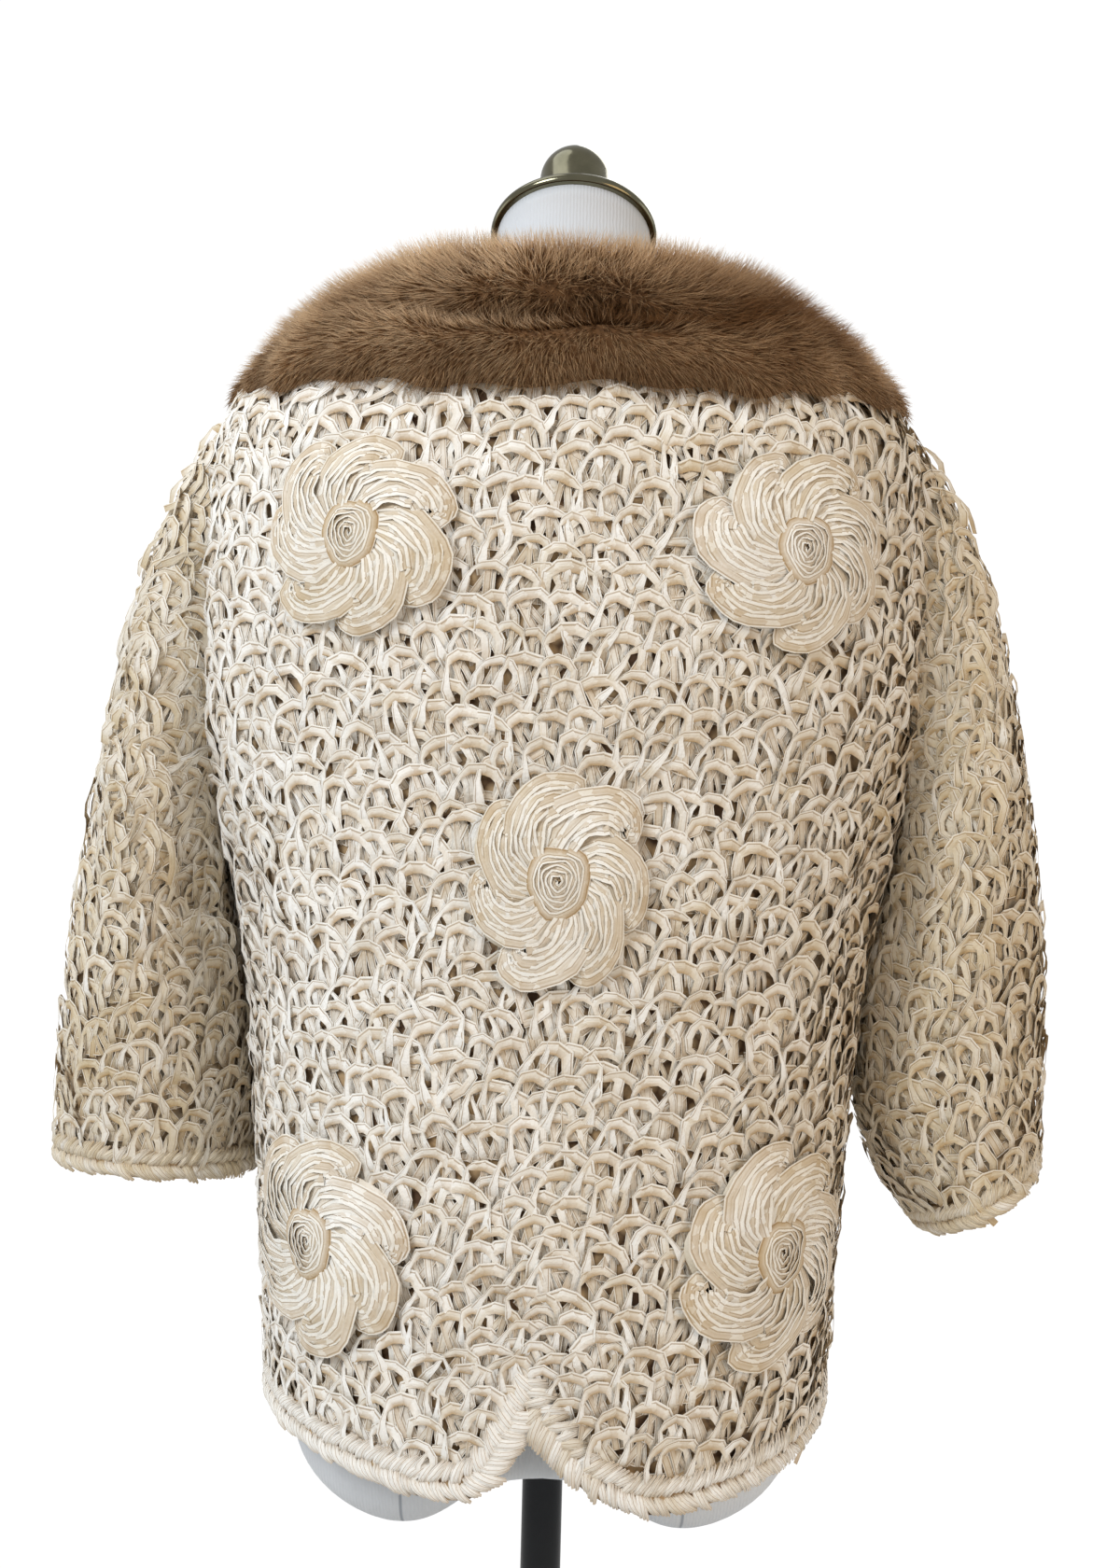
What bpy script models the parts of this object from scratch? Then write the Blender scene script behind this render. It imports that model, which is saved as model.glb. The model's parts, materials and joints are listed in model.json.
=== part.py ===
"""Cropped jacket of crocheted ribbon with a fur collar, on a limbless dress form.

Metres, +Z up. The jacket's back faces -Y. Angles go round the body from the centre back,
positive towards +X; levels are heights before the hem and the neckline are shaped.
"""

import math
from collections import namedtuple

import bpy
import numpy as np

for old in list(bpy.data.objects):
    bpy.data.objects.remove(old, do_unlink=True)

SEAM_GAP = 0.0003
CLOTH = 0.005
TRIM_CLEARANCE = 0.0008

# Body: outer size of the cloth at each level, as half a width and the depths behind and ahead.
Section = namedtuple("Section", "level half_width back front")
BODY = (
    Section(0.260, 0.150, 0.131, 0.135),
    Section(0.360, 0.155, 0.133, 0.139),
    Section(0.450, 0.161, 0.131, 0.143),
    Section(0.530, 0.169, 0.128, 0.148),
    Section(0.600, 0.184, 0.126, 0.150),
    Section(0.660, 0.195, 0.125, 0.146),
    Section(0.720, 0.198, 0.123, 0.135),
    Section(0.770, 0.195, 0.117, 0.119),
    Section(0.800, 0.191, 0.109, 0.105),
    Section(0.820, 0.184, 0.100, 0.094),
    Section(0.840, 0.150, 0.089, 0.082),
    Section(0.860, 0.112, 0.078, 0.071),
    Section(0.875, 0.084, 0.070, 0.063),
    Section(0.885, 0.068, 0.064, 0.058),
)
ROUNDNESS = 2.3
QUARTER = math.pi / 2

NECK_LEVEL = 0.885
NECK_DROP_FROM = 0.790
NECK_FRONT_DROP = 0.055

# Soft folds of the body: where they run, how wide (radians) and how deep.
BodyFold = namedtuple("BodyFold", "angle width depth low high")
BODY_FOLDS = (
    BodyFold(1.15, 0.13, 0.007, 0.46, 0.70),
    BodyFold(-1.17, 0.13, 0.006, 0.44, 0.68),
    BodyFold(0.10, 0.30, 0.003, 0.36, 0.52),
    BodyFold(1.95, 0.15, 0.006, 0.42, 0.66),
    BodyFold(-1.95, 0.15, 0.006, 0.42, 0.66),
)

# Hem: heights at the notches and the side seams, and the lobes between them, each with its
# lowest height, the notch's width and where and how it starts to rise to the side.
HemLobe = namedtuple("HemLobe", "low notch_width side_start side_curve")
BACK_LEFT = HemLobe(0.2590, math.radians(5.5), math.radians(9), 0.85)
BACK_RIGHT = HemLobe(0.2562, math.radians(8.0), math.radians(18), 1.1)
FRONT_LOBE = HemLobe(0.2620, math.radians(7.5), math.radians(20), 1.6)
NOTCH_TURN = -0.035
NOTCH_TOP = 0.303
NOTCH_RADIUS = 0.19
NOTCH_STEEPEST = 1.6
SIDE_TOP = 0.296
HEM_BAND = 0.019
HEM_LEVEL = 0.300
HEM_SHAPED_TO = 0.470

# Armhole: an ellipse on the body's side, in level and angle.
ARM_LOW = 0.600
ARM_HIGH = 0.820
ARM_MIDDLE = (ARM_LOW + ARM_HIGH) / 2
ARM_HALF = (ARM_HIGH - ARM_LOW) / 2
ARM_BACK = math.radians(16)
ARM_FRONT = math.radians(24)
ARM_STEPS = 10
ARM_EDGE_GAP = 1.1 * SEAM_GAP

FRONT_GAP = math.radians(0.6)
FRONT_BAND = math.radians(4.7)
FRONT_EDGING_LIFT = 0.003
FRONT_RADIUS = 0.14

COLUMNS = 10
COLUMN_SPREAD = 1.45
LOWER_LEVELS = (0.300, 0.325, 0.355, 0.390, 0.430, 0.470, 0.510, 0.550, 0.580)
UPPER_LEVELS = (0.832, 0.846, 0.860, 0.873, 0.885)

# Sleeves: the cuff's place and size, and how the sleeve leaves the armhole and reaches the cuff.
Sleeve = namedtuple(
    "Sleeve", "name side x y z half_width half_depth roll leave lean_out lean_in reach_out reach_in")
SLEEVES = (
    Sleeve("left", -1, 0.2195, 0.020, 0.420, 0.0560, 0.060, 0.04, 0.047, 0.00, 0.00, 0.150, 0.080),
    Sleeve("right", 1, 0.2335, 0.020, 0.412, 0.0430, 0.066, 0.54, 0.056, -0.05, 0.72, 0.140, 0.090),
)
SLEEVE_STEPS = 12
SLEEVE_RUN = 0.40
ARMHOLE_RUN = 0.25
INNER_LEAVE = 0.002
LEAVE_SPREAD = 0.016
LEAVE_SWELL = 0.022
OUTER_DROP = 0.060
INNER_DROP = 0.045
ARRIVE_SPREAD = 0.12
CUFF_BAND = 0.016

SleeveFold = namedtuple("SleeveFold", "side around width depth low high")
SLEEVE_FOLDS = (
    SleeveFold(-1, 2.25, 0.30, 0.007, 0.10, 0.95),
    SleeveFold(-1, 0.75, 0.35, 0.003, 0.35, 0.90),
    SleeveFold(-1, 4.00, 0.30, 0.006, 0.10, 0.80),
    SleeveFold(1, 2.30, 0.30, 0.007, 0.10, 0.85),
    SleeveFold(1, 1.05, 0.30, 0.005, 0.45, 1.00),
    SleeveFold(1, 4.00, 0.30, 0.006, 0.10, 0.80),
)

# Fur collar: thickness from the neckline (0) to the outer edge (1).
Pelt = namedtuple("Pelt", "level thickness")
PELT = (
    Pelt(0.00, 0.026),
    Pelt(0.18, 0.037),
    Pelt(0.40, 0.040),
    Pelt(0.62, 0.035),
    Pelt(0.82, 0.024),
    Pelt(0.93, 0.015),
    Pelt(1.00, 0.006),
)
# The pelt thins away from the centre back, more on the right than on the left.
PELT_THINNING_LEFT = 0.14
PELT_THINNING_RIGHT = 0.22
PELT_THINNING_TURN = 0.45
COLLAR_STEPS = (0.0, 0.2, 0.4, 0.6, 0.8, 0.93, 1.0)
COLLAR_EDGE_BACK = 0.820
COLLAR_EDGE_SIDE = 0.824
COLLAR_EDGE_FRONT = 0.785
COLLAR_STAND = 0.002
COLLAR_STAND_FALL = 2.5
COLLAR_TOP = NECK_LEVEL - 0.002
COLLAR_SEAT = 0.0006
COLLAR_EDGE_SEAT = 0.0012
COLLAR_ROUND_END = 0.22
COLLAR_END_SHARE = 0.06
COLLAR_END = math.radians(171)

# Flowers: angle and level of the middle, radius, first petal's turn.
Flower = namedtuple("Flower", "name angle level radius turn")
FLOWERS = (
    Flower("upper_left", -0.515, 0.742, 0.050, 0.2),
    Flower("upper_right", 0.585, 0.740, 0.050, 0.9),
    Flower("middle", 0.0, 0.572, 0.053, 0.5),
    Flower("lower_left", -0.800, 0.388, 0.053, 0.1),
    Flower("lower_right", 0.760, 0.390, 0.053, 0.7),
)
PETALS = 7
PETAL_POINTS = 3
PETAL_SWIRL = 0.8
GROOVE_INSET = 0.20
GROOVE_DIP = 0.50
FlowerRing = namedtuple("FlowerRing", "share height groove")
FLOWER_RINGS = (
    FlowerRing(0.08, 0.0080, 0.0),
    FlowerRing(0.26, 0.0074, 0.0),
    FlowerRing(0.36, 0.0046, 0.1),
    FlowerRing(0.62, 0.0080, 0.4),
    FlowerRing(0.86, 0.0066, 0.6),
    FlowerRing(1.00, 0.0030, 0.4),
)

# Dress form: how far it lies inside the cloth's inner face at each level.
Inset = namedtuple("Inset", "level side back front")
FORM_INSET = (
    Inset(0.290, 0.009, 0.018, 0.034),
    Inset(0.350, 0.010, 0.018, 0.034),
    Inset(0.420, 0.026, 0.034, 0.045),
    Inset(0.490, 0.048, 0.042, 0.050),
    Inset(0.560, 0.046, 0.030, 0.032),
    Inset(0.620, 0.046, 0.016, 0.010),
    Inset(0.680, 0.046, 0.010, 0.006),
    Inset(0.740, 0.038, 0.007, 0.010),
    Inset(0.790, 0.022, 0.004, 0.008),
    Inset(0.820, 0.010, 0.0016, 0.004),
    Inset(0.846, 0.0010, 0.0009, 0.0016),
    Inset(0.885, 0.0010, 0.0009, 0.0016),
)
FORM_LEVELS = (0.290, 0.320, 0.360, 0.410, 0.460, 0.510, 0.560, 0.610, 0.660, 0.710, 0.755,
               0.790, 0.820, 0.832, 0.846, 0.860, 0.873, 0.885)
FORM_DOME = 0.072
DOME_FULLNESS = 3.2
DOME_POWER = 0.4
FORM_CLEFT = 0.058
FORM_CLEFT_WIDTH = 0.045
CLEFT_FULLNESS = 6
FORM_DOME_STEPS = (0.97, 0.88, 0.72, 0.50, 0.28, 0.11)
NECK_STEPS = 3
CAP_TILT = math.radians(30)
CAP_CENTRE = np.array((0.0, 0.01335, 0.92184))
NECK_RADIUS = 0.0425

POLE_RADIUS = 0.011
FOOT_RADIUS = 0.150
FOOT_HEIGHT = 0.012
TURNING_STEPS = 28
FOOT_STEPS = 48

# Turned outlines, from the top down: radius and height.
Turning = namedtuple("Turning", "radius height")
KNOB_RADIUS = 0.0198
KNOB_LEVEL = 0.0452
KNOB_TURNS = [QUARTER * i / 5 for i in range(6)]
CAP_OUTLINE = (
    *(Turning(KNOB_RADIUS * math.sin(turn), KNOB_LEVEL + KNOB_RADIUS * math.cos(turn)) for turn in KNOB_TURNS),
    Turning(0.0196, 0.0330),
    Turning(0.0205, 0.0240),
    Turning(0.0255, 0.0160),
    Turning(0.0360, 0.0105),
    Turning(0.0430, 0.0072),
    Turning(0.0458, 0.0046),
    Turning(0.0462, 0.0028),
    Turning(0.0445, 0.0000),
    Turning(0.0000, 0.0000),
)
FOOT_OUTLINE = (
    Turning(0.0, FOOT_HEIGHT),
    Turning(0.020, FOOT_HEIGHT),
    Turning(FOOT_RADIUS * 0.88, FOOT_HEIGHT * 0.75),
    Turning(FOOT_RADIUS * 0.98, FOOT_HEIGHT * 0.50),
    Turning(FOOT_RADIUS, FOOT_HEIGHT * 0.20),
    Turning(FOOT_RADIUS * 0.99, 0.0),
    Turning(0.0, 0.0),
)


class Column:
    """One column of a table as a smooth curve over its levels."""

    def __init__(self, table, name):
        self.x = np.array([row.level for row in table])
        self.y = np.array([getattr(row, name) for row in table])
        steps = np.diff(self.y) / np.diff(self.x)
        inner = np.where(steps[:-1] * steps[1:] > 0,
                         2 * steps[:-1] * steps[1:] / (steps[:-1] + steps[1:] + 1e-30), 0.0)
        self.slope = np.concatenate((steps[:1], inner, steps[-1:]))

    def at(self, level):
        level = min(max(level, self.x[0]), self.x[-1])
        i = min(int(np.searchsorted(self.x, level, side="right")) - 1, len(self.x) - 2)
        span = self.x[i + 1] - self.x[i]
        t = (level - self.x[i]) / span
        rise = t * t * (3 - 2 * t)
        return (self.y[i] * (1 - rise) + self.y[i + 1] * rise
                + span * (self.slope[i] * t * (1 - t) ** 2 - self.slope[i + 1] * t * t * (1 - t)))


HALF_WIDTH = Column(BODY, "half_width")
BACK = Column(BODY, "back")
FRONT = Column(BODY, "front")
PELT_THICKNESS = Column(PELT, "thickness")
INSET_SIDE = Column(FORM_INSET, "side")
INSET_BACK = Column(FORM_INSET, "back")
INSET_FRONT = Column(FORM_INSET, "front")


def bump(value, low, high):
    """1 in the middle of a range, falling smoothly to 0 at its ends."""
    if not low < value < high:
        return 0.0
    return math.sin(math.pi * (value - low) / (high - low)) ** 2


def unit(vector):
    return vector / np.linalg.norm(vector)


def torso_point(angle, level):
    """A point on the plain body, before the hem and the folds."""
    s, c = math.sin(angle), math.cos(angle)
    power = 2 / ROUNDNESS
    depth = BACK.at(level) if c > 0 else FRONT.at(level)
    x = HALF_WIDTH.at(level) * math.copysign(abs(s) ** power, s)
    y = -depth * math.copysign(abs(c) ** power, c)
    share = max(0.0, (level - NECK_DROP_FROM) / (NECK_LEVEL - NECK_DROP_FROM))
    drop = NECK_FRONT_DROP * ((1 - c) / 2) ** 2 * share
    return np.array((x, y, level - drop))


def hem_lobe(angle):
    """The lobe of the hem at an angle, the angle from its notch, and from there to the side seam."""
    if math.cos(angle) < 0:
        return FRONT_LOBE, math.pi - abs(angle), QUARTER
    turn = angle - NOTCH_TURN
    if turn < 0:
        return BACK_LEFT, -turn, QUARTER + NOTCH_TURN
    return BACK_RIGHT, turn, QUARTER - NOTCH_TURN


def hem_height(angle):
    lobe, turn, reach = hem_lobe(angle)
    side = max(0.0, turn - lobe.side_start) / (reach - lobe.side_start)
    notch = (NOTCH_TOP - lobe.low) * math.exp(-turn / lobe.notch_width)
    return lobe.low + notch + (SIDE_TOP - lobe.low) * side ** lobe.side_curve


def band_height(angle):
    """Height of the hem edging's upper side; it is taller where the hem is steep."""
    lobe, turn, _ = hem_lobe(angle)
    steep = (NOTCH_TOP - lobe.low) / (lobe.notch_width * NOTCH_RADIUS) * math.exp(-turn / lobe.notch_width)
    return HEM_BAND * math.sqrt(1 + min(steep, NOTCH_STEEPEST) ** 2)


def cloth_point(angle, level):
    """A point on the outer face of the body's cloth."""
    point = torso_point(angle, level)
    for fold in BODY_FOLDS:
        share = math.exp(-((angle - fold.angle) / fold.width) ** 2) * bump(level, fold.low, fold.high)
        point[:2] *= 1 - share * fold.depth / np.linalg.norm(point[:2])
    if level < HEM_SHAPED_TO:
        share = ((HEM_SHAPED_TO - level) / (HEM_SHAPED_TO - HEM_LEVEL)) ** 2
        point[2] += (hem_height(angle) + band_height(angle) - HEM_LEVEL) * share
    return point


def normal_at(surface, u, v, du=0.02, dv=0.003):
    across = surface(u + du, v) - surface(u - du, v)
    along = surface(u, v + dv) - surface(u, v - dv)
    return unit(np.cross(across, along))


def armhole_angle(turn):
    """Angle of the armhole's edge; turn runs from the shoulder over the back to the underarm."""
    s = math.sin(turn)
    return QUARTER - (ARM_BACK if s > 0 else ARM_FRONT) * s


def armhole_level(turn):
    return ARM_MIDDLE + ARM_HALF * math.cos(turn)


def sleeve_point(sleeve, turn, along):
    """A point on a sleeve's outer face, on a curve from the armhole (0) to the cuff (1)."""
    s, c = math.sin(turn), math.cos(turn)
    side = np.array((sleeve.side, 1, 1))
    outer, inner = (1 + c) / 2, (1 - c) / 2
    start = cloth_point(sleeve.side * armhole_angle(turn), armhole_level(turn)) * side
    leave = np.array((sleeve.leave * outer + INNER_LEAVE * inner + LEAVE_SWELL * s * s,
                      -LEAVE_SPREAD * s, -OUTER_DROP * outer - INNER_DROP * inner))
    end = np.array((sleeve.x + sleeve.half_width * c * math.cos(sleeve.roll),
                    sleeve.y - sleeve.half_depth * s,
                    sleeve.z + sleeve.half_width * c * math.sin(sleeve.roll)))
    lean = sleeve.lean_out * outer + sleeve.lean_in * inner
    reach = sleeve.reach_out * outer + sleeve.reach_in * inner
    arrive = reach * np.array((-math.sin(lean), -ARRIVE_SPREAD * s, math.cos(lean)))
    t, r = along, 1 - along
    point = (start * r ** 3 + (start + leave) * 3 * r * r * t
             + (end + arrive) * 3 * r * t * t + end * t ** 3)
    for fold in SLEEVE_FOLDS:
        if fold.side == sleeve.side:
            away = (turn - fold.around + math.pi) % (2 * math.pi) - math.pi
            share = math.exp(-(away / fold.width) ** 2) * bump(along, fold.low, fold.high)
            point[0] -= share * fold.depth * c
            point[1] += share * fold.depth * s
    return point * side


def sleeve_normal(sleeve, turn, along):
    def surface(u, v):
        return sleeve_point(sleeve, u, v)
    return sleeve.side * normal_at(surface, turn, min(max(along, 0.012), 0.99), 0.06, 0.012)


def seam_normal(side, turn):
    """Shared direction of the wall where a sleeve meets the body."""
    sleeve = SLEEVES[0] if side < 0 else SLEEVES[1]
    body = normal_at(cloth_point, side * armhole_angle(turn), armhole_level(turn))
    return unit(body + sleeve_normal(sleeve, turn, 0.0))


def make_material(name, colour, roughness, metallic=0.0):
    material = bpy.data.materials.new(name)
    material.use_nodes = True
    shader = material.node_tree.nodes["Principled BSDF"]
    shader.inputs["Base Color"].default_value = (*colour, 1.0)
    shader.inputs["Roughness"].default_value = roughness
    shader.inputs["Metallic"].default_value = metallic
    return material


PARTS = bpy.data.collections.new("ribbon_jacket")
bpy.context.scene.collection.children.link(PARTS)


def add_object(name, points, faces, colour, roughness, metallic=0.0):
    mesh = bpy.data.meshes.new(name)
    mesh.from_pydata([tuple(point) for point in points], [], faces)
    mesh.update()
    mesh.shade_smooth()
    mesh.materials.append(make_material(name + "_material", colour, roughness, metallic))
    part = bpy.data.objects.new(name, mesh)
    PARTS.objects.link(part)
    return part


RIM_SPLIT = np.array((0.37, 0.11, 1.0))


def wall(name, outer, inner, colour, roughness, closed=False, capped=False):
    """A solid between two grids of points; closed joins the last column to the first,
    capped fills the first row instead of leaving it open."""
    outer, inner = np.asarray(outer), np.asarray(inner)
    rows, columns = outer.shape[:2]
    count = rows * columns
    points = np.concatenate((outer.reshape(-1, 3), inner.reshape(-1, 3)))
    faces = []

    def at(i, j):
        return i * columns + j % columns

    pairs = range(columns if closed else columns - 1)
    for i in range(rows - 1):
        for j in pairs:
            quad = (at(i, j), at(i, j + 1), at(i + 1, j + 1), at(i + 1, j))
            faces.append(quad)
            faces.append(tuple(count + k for k in reversed(quad)))

    def rim(first, second):
        """Two triangles from an outer edge to the inner one; touching pieces split theirs alike."""
        if points[first] @ RIM_SPLIT > points[second] @ RIM_SPLIT:
            faces.append((first, second, count + second))
            faces.append((first, count + second, count + first))
        else:
            faces.append((first, second, count + first))
            faces.append((second, count + second, count + first))

    for j in pairs:
        if not capped:
            rim(at(0, j + 1), at(0, j))
        rim(at(rows - 1, j), at(rows - 1, j + 1))
    if capped:
        faces.append(tuple(at(0, j) for j in reversed(range(columns))))
        faces.append(tuple(count + at(0, j) for j in range(columns)))
    if not closed:
        for i in range(rows - 1):
            rim(at(i, 0), at(i + 1, 0))
            rim(at(i + 1, columns - 1), at(i, columns - 1))
    return add_object(name, points, faces, colour, roughness)


RIBBON = (0.80, 0.74, 0.62)
FUR = (0.16, 0.09, 0.045)
COTTON = (0.72, 0.73, 0.72)
BRONZE = (0.16, 0.15, 0.11)
BLACK = (0.012, 0.013, 0.016)
RIBBON_ROUGHNESS = 0.55


def seam_angle(half_gap, depth):
    """Angle short of the side that leaves half a seam's gap in a depth."""
    return (half_gap / depth) ** (ROUNDNESS / 2)


def panel_levels():
    turns = [math.pi * (1 - j / ARM_STEPS) for j in range(ARM_STEPS + 1)]
    rows = [(level, None) for level in LOWER_LEVELS]
    rows += [(armhole_level(turn) + SEAM_GAP * math.cos(turn), turn) for turn in turns]
    rows += [(level, None) for level in UPPER_LEVELS]
    return rows


def spread(count):
    return [(j / count) ** COLUMN_SPREAD for j in range(count + 1)]


def panel(name, front, side):
    """One body panel; side 0 makes the whole back, +1 or -1 one front."""
    outer, inner = [], []
    for level, turn in panel_levels():
        depth = FRONT.at(level) if front else BACK.at(level)
        edge = QUARTER - seam_angle(SEAM_GAP / 2, depth)
        if turn is not None:
            reach = ARM_FRONT if front else ARM_BACK
            edge = min(edge, QUARTER - reach * math.sin(turn) - ARM_EDGE_GAP / HALF_WIDTH.at(level))
        if front:
            start = FRONT_BAND + SEAM_GAP / FRONT_RADIUS
            angles = [side * (math.pi - start - (edge - start) * u) for u in spread(COLUMNS)]
            if side > 0:
                angles.reverse()
        else:
            left = [NOTCH_TURN - (edge + NOTCH_TURN) * u for u in spread(COLUMNS)]
            right = [NOTCH_TURN + (edge - NOTCH_TURN) * u for u in spread(COLUMNS)]
            angles = left[:0:-1] + right
        row_out, row_in = [], []
        for j, angle in enumerate(angles):
            point = cloth_point(angle, level + (SEAM_GAP / 2 if level == HEM_LEVEL else 0))
            out = normal_at(cloth_point, angle, level)
            at_edge = j in (0, len(angles) - 1)
            if turn is not None and at_edge and abs(abs(angle) - QUARTER) < abs(abs(angle) - math.pi):
                full = 2 * math.pi - turn if front else turn
                out = seam_normal(math.copysign(1, angle), full)
            row_out.append(point)
            row_in.append(point - out * CLOTH)
        outer.append(row_out)
        inner.append(row_in)
    return wall(name, outer, inner, RIBBON, RIBBON_ROUGHNESS)


panel("back", False, 0)
panel("front_left", True, -1)
panel("front_right", True, 1)


def sleeve_wall(sleeve):
    turns = [2 * math.pi * k / (2 * ARM_STEPS) for k in range(2 * ARM_STEPS)]
    if sleeve.side < 0:
        turns = [turns[0]] + turns[:0:-1]
    start = SEAM_GAP / 2 / ARMHOLE_RUN
    end = 1 - SEAM_GAP / 2 / SLEEVE_RUN
    outer, inner = [], []
    for step in range(SLEEVE_STEPS + 1):
        along = start + (end - start) * step / SLEEVE_STEPS
        row_out, row_in = [], []
        for turn in turns:
            point = sleeve_point(sleeve, turn, along)
            out = sleeve_normal(sleeve, turn, along)
            if step == 0:
                out = seam_normal(sleeve.side, turn)
            row_out.append(point)
            row_in.append(point - out * CLOTH)
        outer.append(row_out)
        inner.append(row_in)
    return wall("sleeve_" + sleeve.name, outer, inner, RIBBON, RIBBON_ROUGHNESS, closed=True)


for sleeve in SLEEVES:
    sleeve_wall(sleeve)

# Rope edgings: two plump rows, as a share of the band's height, out of and into the cloth.
Rope = namedtuple("Rope", "share out into")
ROPES = (
    Rope(0.00, -0.0016, -0.0040),
    Rope(0.10, 0.0020, -0.0068),
    Rope(0.28, 0.0032, -0.0076),
    Rope(0.50, 0.0008, -0.0060),
    Rope(0.72, 0.0032, -0.0076),
    Rope(0.90, 0.0020, -0.0068),
    Rope(1.00, -0.0012, -0.0044),
)


def hem_angles(front, side):
    """Columns of a hem edging, the same as those of the panel above it."""
    if not front:
        edge = QUARTER - seam_angle(SEAM_GAP / 2, BACK.at(HEM_LEVEL))
        angles = [NOTCH_TURN + (side * edge - NOTCH_TURN) * u for u in spread(COLUMNS)]
        angles[0] = NOTCH_TURN + side * SEAM_GAP / 2 / NOTCH_RADIUS
        return angles
    edge = QUARTER - seam_angle(SEAM_GAP / 2, FRONT.at(HEM_LEVEL))
    start = FRONT_BAND + SEAM_GAP / FRONT_RADIUS
    turns = [FRONT_GAP, FRONT_BAND / 2] + [start + (edge - start) * u for u in spread(COLUMNS)]
    return [side * (math.pi - turn) for turn in turns]


def hem_edging(name, front, side):
    angles = sorted(hem_angles(front, side))
    outer, inner = [], []
    for rope in ROPES:
        row_out, row_in = [], []
        for angle in angles:
            top = cloth_point(angle, HEM_LEVEL)
            tall = band_height(angle) - SEAM_GAP
            out = normal_at(torso_point, angle, HEM_LEVEL)
            base = top - np.array((0, 0, SEAM_GAP / 2 + tall * (1 - rope.share)))
            row_out.append(base + out * rope.out)
            row_in.append(base + out * rope.into)
        outer.append(row_out)
        inner.append(row_in)
    return wall(name, outer, inner, RIBBON, RIBBON_ROUGHNESS)


hem_edging("hem_edging_back_left", False, -1)
hem_edging("hem_edging_back_right", False, 1)
hem_edging("hem_edging_front_left", True, -1)
hem_edging("hem_edging_front_right", True, 1)


def front_edging(name, side):
    levels = [level for level, turn in panel_levels()]
    shares = (0.0, 0.12, 0.5, 0.88, 1.0)
    outs = (-0.0016, 0.0016, 0.0028, 0.0016, -0.0016)
    turns = [FRONT_GAP + (FRONT_BAND - FRONT_GAP) * share for share in shares]
    outer, inner = [], []
    for level in levels:
        row_out, row_in = [], []
        for turn, move in sorted(zip(turns, outs), reverse=side > 0):
            angle = side * (math.pi - turn)
            point = cloth_point(angle, level + (FRONT_EDGING_LIFT if level == HEM_LEVEL else 0))
            out = normal_at(cloth_point, angle, level)
            row_out.append(point + out * move)
            row_in.append(point - out * CLOTH)
        outer.append(row_out)
        inner.append(row_in)
    return wall(name, outer, inner, RIBBON, RIBBON_ROUGHNESS)


front_edging("front_edging_left", -1)
front_edging("front_edging_right", 1)


def cuff_edging(sleeve):
    turns = [2 * math.pi * k / (2 * ARM_STEPS) for k in range(2 * ARM_STEPS)]
    if sleeve.side < 0:
        turns = [turns[0]] + turns[:0:-1]
    outer, inner = [], []
    for rope in ROPES:
        row_out, row_in = [], []
        for turn in turns:
            end = sleeve_point(sleeve, turn, 1.0)
            down = unit(end - sleeve_point(sleeve, turn, 0.95))
            out = sleeve_normal(sleeve, turn, 1.0)
            base = end + down * (SEAM_GAP + CUFF_BAND * rope.share)
            row_out.append(base + out * rope.out)
            row_in.append(base + out * rope.into)
        outer.append(row_out)
        inner.append(row_in)
    return wall("cuff_edging_" + sleeve.name, outer, inner, RIBBON, RIBBON_ROUGHNESS, closed=True)


for sleeve in SLEEVES:
    cuff_edging(sleeve)


def collar_edge(angle):
    c = math.cos(angle)
    end = COLLAR_EDGE_BACK if c > 0 else COLLAR_EDGE_FRONT
    return COLLAR_EDGE_SIDE + (end - COLLAR_EDGE_SIDE) * c * c


def collar():
    half = [QUARTER * u for u in spread(COLUMNS)]
    back = half[1::1]
    ahead = [math.pi - angle for angle in reversed(half[2:-1])]
    turns = [turn for turn in back + ahead if turn < COLLAR_END] + [COLLAR_END]
    angles = [-turn for turn in reversed(turns)] + [0.0] + turns
    top, under = [], []
    for step in reversed(COLLAR_STEPS):
        row_top, row_under = [], []
        for angle in angles:
            edge = collar_edge(angle)
            level = COLLAR_TOP + (edge - COLLAR_TOP) * step
            point = cloth_point(angle, level)
            out = normal_at(cloth_point, angle, level)
            to_end = (COLLAR_END - abs(angle)) / COLLAR_ROUND_END + COLLAR_END_SHARE
            round_end = min(1.0, math.sqrt(max(0.0, to_end)))
            thinning = PELT_THINNING_LEFT if angle < 0 else PELT_THINNING_RIGHT
            thinned = 1 - thinning * (1 - math.exp(-(angle / PELT_THINNING_TURN) ** 2))
            thick = PELT_THICKNESS.at(step) * round_end * thinned
            stand = COLLAR_STAND * round_end * max(0.0, 1 - step * COLLAR_STAND_FALL)
            row_under.append(point + out * (COLLAR_SEAT + COLLAR_EDGE_SEAT * step))
            row_top.append(point + out * thick + np.array((0, 0, stand)))
        top.append(row_top)
        under.append(row_under)
    return wall("fur_collar", top, under, FUR, 0.8)


collar()


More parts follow.
